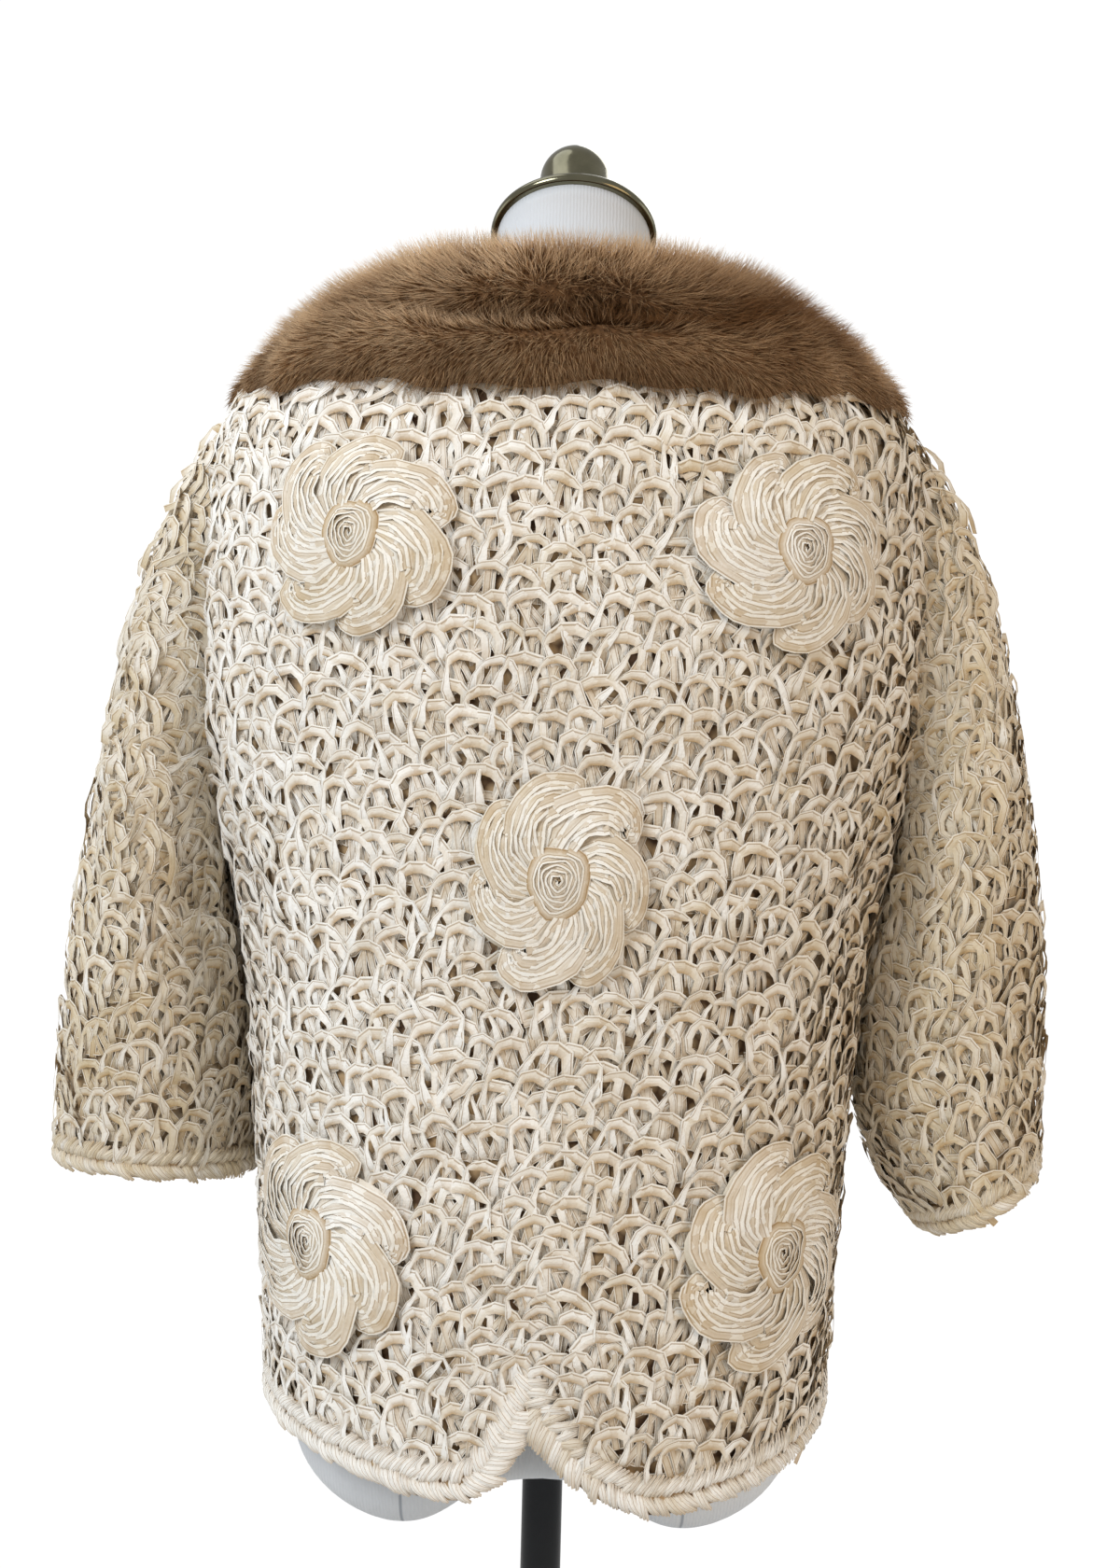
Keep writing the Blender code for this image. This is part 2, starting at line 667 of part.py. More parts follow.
def flower(row):
    count = PETALS * PETAL_POINTS
    middle = cloth_point(row.angle, row.level)
    step_angle = np.linalg.norm(cloth_point(row.angle + 0.05, row.level) - middle) / 0.05
    step_level = np.linalg.norm(cloth_point(row.angle, row.level + 0.01) - middle) / 0.01
    outer, inner = [], []
    for ring in FLOWER_RINGS:
        row_out, row_in = [], []
        for k in range(count):
            petal = 2 * math.pi * (k + 0.5) / count
            lobe = abs(math.cos(petal * PETALS / 2))
            turn = petal + row.turn - PETAL_SWIRL * ring.share
            radius = row.radius * ring.share * (1 - GROOVE_INSET * ring.groove * (1 - lobe))
            angle = row.angle + radius * math.cos(turn) / step_angle
            level = row.level + radius * math.sin(turn) / step_level
            point = cloth_point(angle, level)
            out = normal_at(cloth_point, angle, level)
            height = ring.height * (1 - GROOVE_DIP * ring.groove * (1 - lobe))
            row_out.append(point + out * (TRIM_CLEARANCE + height))
            row_in.append(point + out * TRIM_CLEARANCE)
        outer.append(row_out[::-1])
        inner.append(row_in[::-1])
    return wall("flower_" + row.name, outer, inner, RIBBON, RIBBON_ROUGHNESS, closed=True, capped=True)


for row in FLOWERS:
    flower(row)


def form_point(angle, level):
    s, c = math.sin(angle), math.cos(angle)
    ends = INSET_BACK.at(level) if c > 0 else INSET_FRONT.at(level)
    inset = INSET_SIDE.at(level) * s * s + ends * c * c
    return torso_point(angle, level) - normal_at(torso_point, angle, level) * (CLOTH + inset)


def form_rows():
    half = [QUARTER * u for u in spread(COLUMNS)]
    turns = half + [math.pi - angle for angle in reversed(half[:-1])]
    angles = [-turn for turn in reversed(turns[1:])] + turns[:-1]
    waist = FORM_LEVELS[0]
    rim = np.array([form_point(angle, waist) for angle in angles])
    rows = []
    for share in reversed(FORM_DOME_STEPS):
        ring = rim * (share, share, 1)
        dome = FORM_DOME * (1 - share ** DOME_FULLNESS) ** DOME_POWER
        reach = np.maximum(share, FORM_DOME_STEPS[-1])
        cleft = FORM_CLEFT * np.exp(-(ring[:, 0] / FORM_CLEFT_WIDTH) ** 2) * (1 - reach ** CLEFT_FULLNESS)
        ring[:, 2] = waist - dome + cleft
        if share == FORM_DOME_STEPS[-1]:
            ring[:, 2] = ring[:, 2].max()
        rows.append(ring)
    for level in FORM_LEVELS:
        rows.append(np.array([form_point(angle, level) for angle in angles]))
    base = rows[-1]
    top = np.array([CAP_CENTRE + NECK_RADIUS * np.array((
        math.sin(angle), -math.cos(angle) * math.cos(CAP_TILT), math.cos(angle) * math.sin(CAP_TILT)))
        for angle in angles])
    for step in range(1, NECK_STEPS + 1):
        t = step / NECK_STEPS
        ease = 1 - (1 - t) ** 2
        ring = base + (top - base) * ease
        ring[:, 2] = base[:, 2] + (top[:, 2] - base[:, 2]) * t
        rows.append(ring)
    return rows


def dress_form():
    rows = form_rows()
    columns = len(rows[0])
    points = np.concatenate(rows)
    faces = []
    for i in range(len(rows) - 1):
        for j in range(columns):
            k = (j + 1) % columns
            faces.append((i * columns + j, i * columns + k, (i + 1) * columns + k, (i + 1) * columns + j))
    faces.append(tuple(reversed(range(columns))))
    faces.append(tuple((len(rows) - 1) * columns + j for j in range(columns)))
    add_object("dress_form", points, faces, COTTON, 0.85)
    return rows[0][0][2]


socket_height = dress_form()


def turned(name, outline, steps, colour, roughness, metallic):
    part = add_object(name, [(row.radius, 0, row.height) for row in outline], [], colour, roughness, metallic)
    mesh = part.data
    mesh.edges.add(len(outline) - 1)
    for i, edge in enumerate(mesh.edges):
        edge.vertices = (i, i + 1)
    mesh.update()
    screw = part.modifiers.new("turning", "SCREW")
    screw.steps = steps
    screw.render_steps = steps
    screw.use_merge_vertices = True
    screw.merge_threshold = 0.00005
    return part


cap = turned("neck_cap", CAP_OUTLINE, TURNING_STEPS, BRONZE, 0.3, 1.0)
cap_axis = np.array((0, math.sin(CAP_TILT), math.cos(CAP_TILT)))
cap.rotation_euler = (-CAP_TILT, 0, 0)
cap.location = CAP_CENTRE + cap_axis * SEAM_GAP

turned("foot", FOOT_OUTLINE, FOOT_STEPS, BLACK, 0.35, 0.9)

pole_low = FOOT_HEIGHT + SEAM_GAP
pole_high = socket_height - SEAM_GAP
turned("pole", (Turning(0.0, pole_high), Turning(POLE_RADIUS, pole_high),
                Turning(POLE_RADIUS, pole_low), Turning(0.0, pole_low)), TURNING_STEPS, BLACK, 0.2, 0.9)
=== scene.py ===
import json
import math

import bpy
import numpy as np
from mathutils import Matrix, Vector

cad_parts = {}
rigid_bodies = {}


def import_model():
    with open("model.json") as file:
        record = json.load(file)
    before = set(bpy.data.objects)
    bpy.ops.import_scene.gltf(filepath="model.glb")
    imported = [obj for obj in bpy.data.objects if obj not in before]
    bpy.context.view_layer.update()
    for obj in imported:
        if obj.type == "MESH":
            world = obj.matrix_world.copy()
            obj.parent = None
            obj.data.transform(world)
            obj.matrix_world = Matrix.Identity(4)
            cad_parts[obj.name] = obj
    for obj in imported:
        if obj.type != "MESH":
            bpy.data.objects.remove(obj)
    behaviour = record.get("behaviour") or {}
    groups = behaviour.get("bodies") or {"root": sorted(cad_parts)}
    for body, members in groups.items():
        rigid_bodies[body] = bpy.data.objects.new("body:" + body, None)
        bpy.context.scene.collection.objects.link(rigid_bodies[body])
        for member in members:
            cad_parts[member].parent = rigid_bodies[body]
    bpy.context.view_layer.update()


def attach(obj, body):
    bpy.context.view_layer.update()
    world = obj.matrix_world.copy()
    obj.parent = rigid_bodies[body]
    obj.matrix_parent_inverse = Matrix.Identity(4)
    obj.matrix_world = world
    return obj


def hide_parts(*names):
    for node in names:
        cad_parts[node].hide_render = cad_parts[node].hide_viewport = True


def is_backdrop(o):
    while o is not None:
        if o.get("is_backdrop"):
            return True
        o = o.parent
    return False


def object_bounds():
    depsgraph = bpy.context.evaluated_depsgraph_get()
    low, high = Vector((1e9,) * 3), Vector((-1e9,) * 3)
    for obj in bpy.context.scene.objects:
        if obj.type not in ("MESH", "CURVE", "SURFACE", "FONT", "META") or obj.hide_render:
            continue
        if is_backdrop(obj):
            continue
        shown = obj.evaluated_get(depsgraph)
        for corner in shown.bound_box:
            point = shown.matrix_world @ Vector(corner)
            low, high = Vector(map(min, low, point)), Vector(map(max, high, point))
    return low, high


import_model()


# The dress form: a moulded torso without limbs, under a cover of white cotton jersey.
# The cover is cut in long shaped panels, sewn together and pulled tight over the shell,
# and the form's hollow underside sits on the pole.
QUARTER = math.pi / 2
CLOTH_WALL = 0.005
# The body at each level: half its width, its depth to the back and to the front.
BODY = (
    (0.260, 0.150, 0.131, 0.135),
    (0.360, 0.155, 0.133, 0.139),
    (0.450, 0.161, 0.131, 0.143),
    (0.530, 0.169, 0.128, 0.148),
    (0.600, 0.184, 0.126, 0.150),
    (0.660, 0.195, 0.125, 0.146),
    (0.720, 0.198, 0.123, 0.135),
    (0.770, 0.195, 0.117, 0.119),
    (0.800, 0.191, 0.109, 0.105),
    (0.820, 0.184, 0.100, 0.094),
    (0.840, 0.150, 0.089, 0.082),
    (0.860, 0.112, 0.078, 0.071),
    (0.875, 0.084, 0.070, 0.063),
    (0.885, 0.068, 0.064, 0.058),
)
ROUNDNESS = 2.3
NECK_LEVEL = 0.885
NECK_DROP_FROM = 0.790
NECK_FRONT_DROP = 0.055
# How far the form lies inside the jacket at each level: at the sides, the back and the front.
FORM_INSET = (
    (0.290, 0.009, 0.018, 0.034),
    (0.350, 0.010, 0.018, 0.034),
    (0.420, 0.026, 0.034, 0.045),
    (0.490, 0.048, 0.042, 0.050),
    (0.560, 0.046, 0.030, 0.032),
    (0.620, 0.046, 0.016, 0.010),
    (0.680, 0.046, 0.010, 0.006),
    (0.740, 0.038, 0.007, 0.010),
    (0.790, 0.022, 0.004, 0.008),
    (0.820, 0.010, 0.0016, 0.004),
    (0.846, 0.0010, 0.0009, 0.0016),
    (0.885, 0.0010, 0.0009, 0.0016),
)
FORM_LOW = 0.290
FORM_DOME = 0.072
DOME_FULLNESS = 3.2
DOME_POWER = 0.4
FORM_CLEFT = 0.058
FORM_CLEFT_WIDTH = 0.045
CLEFT_FULLNESS = 6
SOCKET_SHARE = 0.11
CAP_TILT = math.radians(30)
CAP_CENTRE = np.array((0.0, 0.01335, 0.92184))
NECK_RADIUS = 0.0425
PANEL_SEAM = 0.072
SEAM_TOP = 0.80
FORM_COLUMNS = 144
FORM_ROWS = 40
DOME_ROWS = 26
DOME_START = 0.16
NECK_ROWS = 11


def smooth_curve(rows, column):
    """A table's column as a smooth function of its first column."""
    x = np.array([row[0] for row in rows])
    y = np.array([row[column] for row in rows])
    steps = np.diff(y) / np.diff(x)
    mean = 2 * steps[:-1] * steps[1:] / (steps[:-1] + steps[1:] + 1e-30)
    inner = np.where(steps[:-1] * steps[1:] > 0, mean, 0.0)
    slope = np.concatenate((steps[:1], inner, steps[-1:]))

    def value(level):
        level = np.clip(level, x[0], x[-1])
        i = np.clip(np.searchsorted(x, level, side="right") - 1, 0, len(x) - 2)
        span = x[i + 1] - x[i]
        t = (level - x[i]) / span
        rise = t * t * (3 - 2 * t)
        bend = slope[i] * t * (1 - t) ** 2 - slope[i + 1] * t * t * (1 - t)
        return y[i] * (1 - rise) + y[i + 1] * rise + span * bend

    return value


half_width = smooth_curve(BODY, 1)
back_depth = smooth_curve(BODY, 2)
front_depth = smooth_curve(BODY, 3)
inset_side = smooth_curve(FORM_INSET, 1)
inset_back = smooth_curve(FORM_INSET, 2)
inset_front = smooth_curve(FORM_INSET, 3)


def unit(vectors):
    return vectors / np.maximum(np.linalg.norm(vectors, axis=-1, keepdims=True), 1e-12)


def torso(angle, level):
    """Points on the plain body; angles go round from the centre back, positive to +X."""
    angle, level = np.broadcast_arrays(np.asarray(angle, float), np.asarray(level, float))
    s, c = np.sin(angle), np.cos(angle)
    depth = np.where(c > 0, back_depth(level), front_depth(level))
    x = half_width(level) * np.sign(s) * np.abs(s) ** (2 / ROUNDNESS)
    y = -depth * np.sign(c) * np.abs(c) ** (2 / ROUNDNESS)
    share = np.maximum(0.0, (level - NECK_DROP_FROM) / (NECK_LEVEL - NECK_DROP_FROM))
    return np.stack((x, y, level - NECK_FRONT_DROP * ((1 - c) / 2) ** 2 * share), axis=-1)


def tangents(surface, u, v, du, dv):
    """Directions along a surface's two parameters."""
    across = surface(u + du, v) - surface(u - du, v)
    along = surface(u, v + dv) - surface(u, v - dv)
    return unit(across), unit(along)


def normals(surface, u, v, du=0.02, dv=0.003):
    across, along = tangents(surface, u, v, du, dv)
    return unit(np.cross(across, along))


def form_surface(angle, level):
    s, c = np.sin(angle), np.cos(angle)
    ends = np.where(c > 0, inset_back(level), inset_front(level))
    inset = inset_side(level) * s * s + ends * c * c
    return torso(angle, level) - normals(torso, angle, level) * (CLOTH_WALL + inset)[..., None]


def grid_faces(rows, columns, closed, offset=0):
    """Quads between the points of a grid; closed joins the last column to the first."""
    index = np.arange(rows * columns).reshape(rows, columns) + offset
    if closed:
        index = np.hstack((index, index[:, :1]))
    quads = np.stack((index[:-1, :-1], index[:-1, 1:], index[1:, 1:], index[1:, :-1]), axis=-1)
    return quads.reshape(-1, 4).tolist()


def make_mesh(name, points, faces, material=None, **attributes):
    """A smooth mesh with its material and its own values at each point."""
    mesh = bpy.data.meshes.new(name)
    mesh.from_pydata(np.asarray(points).reshape(-1, 3).tolist(), [], faces)
    for key, values in attributes.items():
        values = np.asarray(values, np.float32)
        vector = values.ndim == 2
        layer = mesh.attributes.new(key, "FLOAT_VECTOR" if vector else "FLOAT", "POINT")
        layer.data.foreach_set("vector" if vector else "value", values.ravel())
    mesh.shade_smooth()
    if material:
        mesh.materials.append(material)
    return mesh


def closed_tube(name, rings, material):
    """A mesh of rings, each joined to the next, with a flat face at both ends."""
    count, columns = len(rings), len(rings[0])
    faces = grid_faces(count, columns, True)
    faces.append(list(reversed(range(columns))))
    faces.append([(count - 1) * columns + j for j in range(columns)])
    return make_mesh(name, np.array(rings), faces, material)


def add_piece(mesh):
    piece = bpy.data.objects.new(mesh.name, mesh)
    bpy.context.scene.collection.objects.link(piece)
    return piece


def dress(mesh, node=None):
    """A mesh as a piece of the part, with the solid it stands for and its body."""
    piece = add_piece(mesh)
    if node:
        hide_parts(node)
    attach(piece, "root")
    return piece


def linear(colour):
    """An sRGB hex colour as linear light."""
    parts = [int(colour[i:i + 2], 16) / 255 for i in (1, 3, 5)]
    light = [p / 12.92 if p <= 0.04045 else ((p + 0.055) / 1.055) ** 2.4 for p in parts]
    return (*light, 1.0)


def set_inputs(tree, node, inputs):
    """Each input is set to a value, or linked to a socket or to a node's first open output."""
    for key, value in inputs.items():
        if isinstance(value, bpy.types.Node):
            value = next(socket for socket in value.outputs if socket.enabled)
        if isinstance(value, bpy.types.NodeSocket):
            tree.links.new(value, node.inputs[key])
        else:
            node.inputs[key].default_value = value


def add_node(tree, kind, inputs=None, **settings):
    """A new node with its settings and inputs."""
    node = tree.nodes.new(kind)
    for name, value in settings.items():
        setattr(node, name, value)
    set_inputs(tree, node, inputs or {})
    return node


def new_material(name, **values):
    """A material with its tree and its Principled shader; values go on the shader's sockets."""
    material = bpy.data.materials.new(name)
    material.use_nodes = True
    shader = material.node_tree.nodes["Principled BSDF"]
    for key, value in values.items():
        shader.inputs[key.replace("_", " ")].default_value = value
    return material, material.node_tree, shader


# Cotton jersey: a matt white knit with a faint cool cast. Its wales are about 0.5 mm apart,
# and are drawn 1.8 mm apart so that they show; the panel seams are thin grey lines.
JERSEY_WALE = 0.0018
JERSEY_COURSE = 0.0026
JERSEY_CLOUD = 0.06
SEAM_LINE = (0.0003, 0.0011)
cotton, tree, shader = new_material("cotton_jersey", Roughness=0.88, Sheen_Weight=0.15)
place = add_node(tree, "ShaderNodeTexCoord")
wale = add_node(tree, "ShaderNodeTexWave", {
    "Vector": place.outputs["Object"], "Scale": math.pi / (10 * JERSEY_WALE), "Distortion": 2.0,
    "Detail": 2.0, "Detail Scale": 1.5}, bands_direction="X")
course = add_node(tree, "ShaderNodeTexNoise", {
    "Vector": place.outputs["Object"], "Scale": 1 / JERSEY_COURSE, "Detail": 3.0})
cloud = add_node(tree, "ShaderNodeTexNoise", {
    "Vector": place.outputs["Object"], "Scale": 1 / JERSEY_CLOUD, "Detail": 2.0})
tone = add_node(tree, "ShaderNodeMix", {
    0: cloud.outputs["Fac"], 6: linear("#c8ccd0"), 7: linear("#d8dadb")}, data_type="RGBA")
apart = add_node(tree, "ShaderNodeSeparateXYZ", {0: place.outputs["Object"]})
sideways = add_node(tree, "ShaderNodeMath", {0: apart.outputs["X"]}, operation="ABSOLUTE")
from_seam = add_node(tree, "ShaderNodeMath", {0: sideways, 1: PANEL_SEAM}, operation="SUBTRACT")
seam_gap = add_node(tree, "ShaderNodeMath", {0: from_seam}, operation="ABSOLUTE")
seam = add_node(tree, "ShaderNodeMapRange", {
    "Value": seam_gap, "From Min": SEAM_LINE[0], "From Max": SEAM_LINE[1], "To Min": 1.0, "To Max": 0.0})
below_neck = add_node(tree, "ShaderNodeMath", {0: apart.outputs["Z"], 1: SEAM_TOP}, operation="LESS_THAN")
stitched = add_node(tree, "ShaderNodeMath", {0: seam, 1: below_neck}, operation="MULTIPLY")
shade = add_node(tree, "ShaderNodeMix", {0: stitched, 6: tone, 7: linear("#9a9fa6")}, data_type="RGBA")
knit = add_node(tree, "ShaderNodeMath", {
    0: wale.outputs["Fac"], 1: course.outputs["Fac"]}, operation="ADD")
sunk = add_node(tree, "ShaderNodeMath", {0: stitched, 1: -3.0, 2: knit}, operation="MULTIPLY_ADD")
relief = add_node(tree, "ShaderNodeBump", {"Strength": 0.35, "Distance": 0.0004, "Height": sunk})
set_inputs(tree, shader, {"Base Color": shade, "Normal": relief})

around = np.linspace(-math.pi, math.pi, FORM_COLUMNS + 1)[:-1]
waist = form_surface(around, np.full_like(around, FORM_LOW))
form_rows = []
dome_shares = np.sin(np.linspace(DOME_START, QUARTER, DOME_ROWS))[:-1]
for share in np.concatenate(([SOCKET_SHARE], dome_shares)):
    ring = waist * (share, share, 1)
    cleft = FORM_CLEFT * np.exp(-(ring[:, 0] / FORM_CLEFT_WIDTH) ** 2) * (1 - share ** CLEFT_FULLNESS)
    ring[:, 2] = FORM_LOW - FORM_DOME * (1 - share ** DOME_FULLNESS) ** DOME_POWER + cleft
    if share == SOCKET_SHARE:
        ring[:, 2] = ring[:, 2].max()
    form_rows.append(ring)
for level in np.linspace(FORM_LOW, NECK_LEVEL, FORM_ROWS):
    form_rows.append(form_surface(around, np.full_like(around, level)))
neck_base = form_rows[-1]
neck_top = CAP_CENTRE + NECK_RADIUS * np.stack((
    np.sin(around), -np.cos(around) * math.cos(CAP_TILT), np.cos(around) * math.sin(CAP_TILT)), axis=-1)
for t in np.linspace(0, 1, NECK_ROWS)[1:]:
    ring = neck_base + (neck_top - neck_base) * (1 - (1 - t) ** 2)
    ring[:, 2] = neck_base[:, 2] + (neck_top[:, 2] - neck_base[:, 2]) * t
    form_rows.append(ring)
dress(closed_tube("form_cover", form_rows, cotton), "dress_form")
socket_height = form_rows[0][0][2]


# The neck cap: a turned bronze plate with a domed knob, screwed down on the slanted neck.
# The pole and foot: steel, turned and sprayed gloss black; the pole stands in the foot's middle.
SEAM_GAP = 0.0003
KNOB_RADIUS = 0.0198
KNOB_LEVEL = 0.0452
KNOB_TURNS = np.linspace(0, QUARTER, 19)
CAP_OUTLINE = (
    *zip(KNOB_RADIUS * np.sin(KNOB_TURNS), KNOB_LEVEL + KNOB_RADIUS * np.cos(KNOB_TURNS)),
    (0.0197, 0.0400), (0.0196, 0.0330), (0.0198, 0.0280), (0.0205, 0.0240), (0.0222, 0.0196),
    (0.0255, 0.0160), (0.0302, 0.0130), (0.0360, 0.0105), (0.0400, 0.0088), (0.0430, 0.0072),
    (0.0448, 0.0059), (0.0458, 0.0046), (0.0462, 0.0028), (0.0457, 0.0009), (0.0445, 0.0000),
    (0.0000, 0.0000),
)
POLE_RADIUS = 0.011
FOOT_RADIUS = 0.150
FOOT_HEIGHT = 0.012
FOOT_OUTLINE = (
    (0.0, FOOT_HEIGHT), (0.018, FOOT_HEIGHT), (0.022, FOOT_HEIGHT * 0.985), (0.060, FOOT_HEIGHT * 0.90),
    (0.110, FOOT_HEIGHT * 0.80), (0.132, FOOT_HEIGHT * 0.75), (0.142, FOOT_HEIGHT * 0.66),
    (0.1475, FOOT_HEIGHT * 0.48), (FOOT_RADIUS, FOOT_HEIGHT * 0.22), (0.1485, 0.0), (0.0, 0.0),
)


def turned(name, outline, material, steps=96):
    """A closed turned mesh; the outline runs from the top middle to the bottom middle."""
    turns = np.linspace(0, 2 * math.pi, steps + 1)[:-1]
    rings = [np.stack((r * np.cos(turns), r * np.sin(turns), np.full(steps, z)), axis=-1)
             for r, z in outline[-2:0:-1]]
    mesh = closed_tube(name, rings, material)
    mesh.set_sharp_from_angle(angle=math.radians(40))
    return mesh


# Aged bronze: a dark olive-brown metal, polished by hands on top and dull in the grooves.
bronze, tree, shader = new_material("aged_bronze", Metallic=1.0)
place = add_node(tree, "ShaderNodeTexCoord")
age = add_node(tree, "ShaderNodeTexNoise", {
    "Vector": place.outputs["Object"], "Scale": 1 / 0.012, "Detail": 5.0, "Roughness": 0.6})
tone = add_node(tree, "ShaderNodeMix", {
    0: age.outputs["Fac"], 6: linear("#5c5a49"), 7: linear("#8c8770")}, data_type="RGBA")
dull = add_node(tree, "ShaderNodeMapRange", {"Value": age.outputs["Fac"], "To Min": 0.08, "To Max": 0.24})
relief = add_node(tree, "ShaderNodeBump", {
    "Strength": 0.10, "Distance": 0.0004, "Height": age.outputs["Fac"]})
set_inputs(tree, shader, {"Base Color": tone, "Roughness": dull, "Normal": relief})

# Gloss black lacquer on steel: deep black with clear reflections and a slight orange peel.
lacquer, tree, shader = new_material(
    "black_lacquered_steel", Specular_IOR_Level=0.3, Coat_Weight=0.1, Coat_Roughness=0.1)
place = add_node(tree, "ShaderNodeTexCoord")
peel = add_node(tree, "ShaderNodeTexNoise", {
    "Vector": place.outputs["Object"], "Scale": 1 / 0.004, "Detail": 2.0})
wear = add_node(tree, "ShaderNodeTexNoise", {
    "Vector": place.outputs["Object"], "Scale": 1 / 0.03, "Detail": 6.0, "Roughness": 0.7})
tone = add_node(tree, "ShaderNodeMix", {
    0: wear.outputs["Fac"], 6: linear("#07080a"), 7: linear("#14181c")}, data_type="RGBA")
dull = add_node(tree, "ShaderNodeMapRange", {
    "Value": wear.outputs["Fac"], "To Min": 0.16, "To Max": 0.34})
relief = add_node(tree, "ShaderNodeBump", {
    "Strength": 0.06, "Distance": 0.0003, "Height": peel.outputs["Fac"]})
set_inputs(tree, shader, {"Base Color": tone, "Roughness": dull, "Normal": relief})

cap_mesh = turned("form_cap", CAP_OUTLINE, bronze)
cap_points = np.array([vertex.co for vertex in cap_mesh.vertices])
tilted = np.stack((
    cap_points[:, 0],
    cap_points[:, 1] * math.cos(CAP_TILT) + (cap_points[:, 2] + SEAM_GAP) * math.sin(CAP_TILT),
    (cap_points[:, 2] + SEAM_GAP) * math.cos(CAP_TILT) - cap_points[:, 1] * math.sin(CAP_TILT)), axis=-1)
cap_mesh.vertices.foreach_set("co", (tilted + CAP_CENTRE).ravel())
pole_high = socket_height - SEAM_GAP
pole_low = FOOT_HEIGHT + SEAM_GAP
POLE_OUTLINE = ((0.0, pole_high), (POLE_RADIUS, pole_high), (POLE_RADIUS, pole_low), (0.0, pole_low))
for mesh, node, slot in (
        (cap_mesh, "neck_cap", "bronze"),
        (turned("form_pole", POLE_OUTLINE, lacquer, 48), "pole", "black_steel"),
        (turned("form_foot", FOOT_OUTLINE, lacquer, 144), "foot", "black_steel")):
    dress(mesh, node)


# The jacket's back and fronts: an open crocheted ground of straw ribbon, worked in rows.
# Each panel is one sheet, hung from the shoulders, with soft folds below the arms,
# a hem cut up at the sides and notched at the centre back and front.
# Each fold: its angle, width and depth, and the levels it runs between.
BODY_FOLDS = (
    (1.15, 0.13, 0.007, 0.46, 0.70),
    (-1.17, 0.13, 0.006, 0.44, 0.68),
    (0.10, 0.30, 0.003, 0.36, 0.52),
    (1.95, 0.15, 0.006, 0.42, 0.66),
    (-1.95, 0.15, 0.006, 0.42, 0.66),
)
# Each lobe of the hem: its lowest level, the notch's width, where the rise starts, and its curve.
BACK_LEFT_LOBE = (0.2590, math.radians(5.5), math.radians(9), 0.85)
BACK_RIGHT_LOBE = (0.2562, math.radians(8.0), math.radians(18), 1.1)
FRONT_LOBE = (0.2620, math.radians(7.5), math.radians(20), 1.6)
NOTCH_TURN = -0.035
NOTCH_TOP = 0.303
NOTCH_RADIUS = 0.19
NOTCH_STEEPEST = 1.6
SIDE_TOP = 0.296
HEM_BAND = 0.019
HEM_LEVEL = 0.300
HEM_SHAPED_TO = 0.470
ARM_MIDDLE = 0.710
ARM_HALF = 0.110
ARM_BACK = math.radians(16)
ARM_FRONT = math.radians(24)
FRONT_GAP = math.radians(0.6)
FRONT_BAND = math.radians(4.7)
GROUND_OUT = -0.0038
GROUND_IN = -0.0049
# The ground's painted shade is weaker towards the sides: how much, and from where and over what
# share of the width.
SIDE_PALING = 0.6
SIDE_FROM = 0.6
SIDE_SPAN = 0.35
SIDE_SEAM = 0.002
LOW_ROWS = 26
ARM_ROWS = 29
HIGH_ROWS = 10
PANEL_COLUMNS = 33


def bump(value, low, high):
    """1 in the middle of a range, falling smoothly to 0 at its ends."""
    t = np.clip((value - low) / (high - low), 0, 1)
    return np.sin(math.pi * t) ** 2


def hem_lobe(angle):
    """The hem's lobe at each angle: its values, the angle from its notch, and from there to the side."""
    turn = angle - NOTCH_TURN
    ahead = np.cos(angle) < 0
    left = turn < 0
    lobe = [np.where(ahead, front, np.where(left, back_left, back_right))
            for front, back_left, back_right in zip(FRONT_LOBE, BACK_LEFT_LOBE, BACK_RIGHT_LOBE)]
    turn = np.where(ahead, math.pi - np.abs(angle), np.abs(turn))
    reach = np.where(ahead, QUARTER, np.where(left, QUARTER + NOTCH_TURN, QUARTER - NOTCH_TURN))
    return lobe, turn, reach


def hem_height(angle):
    (low, width, start, curve), turn, reach = hem_lobe(angle)
    side = np.maximum(0.0, turn - start) / (reach - start)
    return low + (NOTCH_TOP - low) * np.exp(-turn / width) + (SIDE_TOP - low) * side ** curve


def band_height(angle):
    """Height of the hem's edging, taller where the hem is steep."""
    (low, width, _, _), turn, _ = hem_lobe(angle)
    steep = (NOTCH_TOP - low) / (width * NOTCH_RADIUS) * np.exp(-turn / width)
    return HEM_BAND * np.sqrt(1 + np.minimum(steep, NOTCH_STEEPEST) ** 2)


def cloth(angle, level):
    """Points on the outer face of the body's cloth."""
    angle, level = np.broadcast_arrays(np.asarray(angle, float), np.asarray(level, float))
    point = torso(angle, level)
    for middle, width, depth, low, high in BODY_FOLDS:
        share = np.exp(-((angle - middle) / width) ** 2) * bump(level, low, high)
        point[..., :2] *= (1 - share * depth / np.linalg.norm(point[..., :2], axis=-1))[..., None]
    share = (np.maximum(0.0, HEM_SHAPED_TO - level) / (HEM_SHAPED_TO - HEM_LEVEL)) ** 2
    point[..., 2] += (hem_height(angle) + band_height(angle) - HEM_LEVEL) * share
    return point


def armhole_reach(level, reach):
    """How far, in angle, the armhole cuts into a panel at a level."""
    share = np.clip((level - ARM_MIDDLE) / ARM_HALF, -1, 1)
    return reach * np.sqrt(1 - share * share)


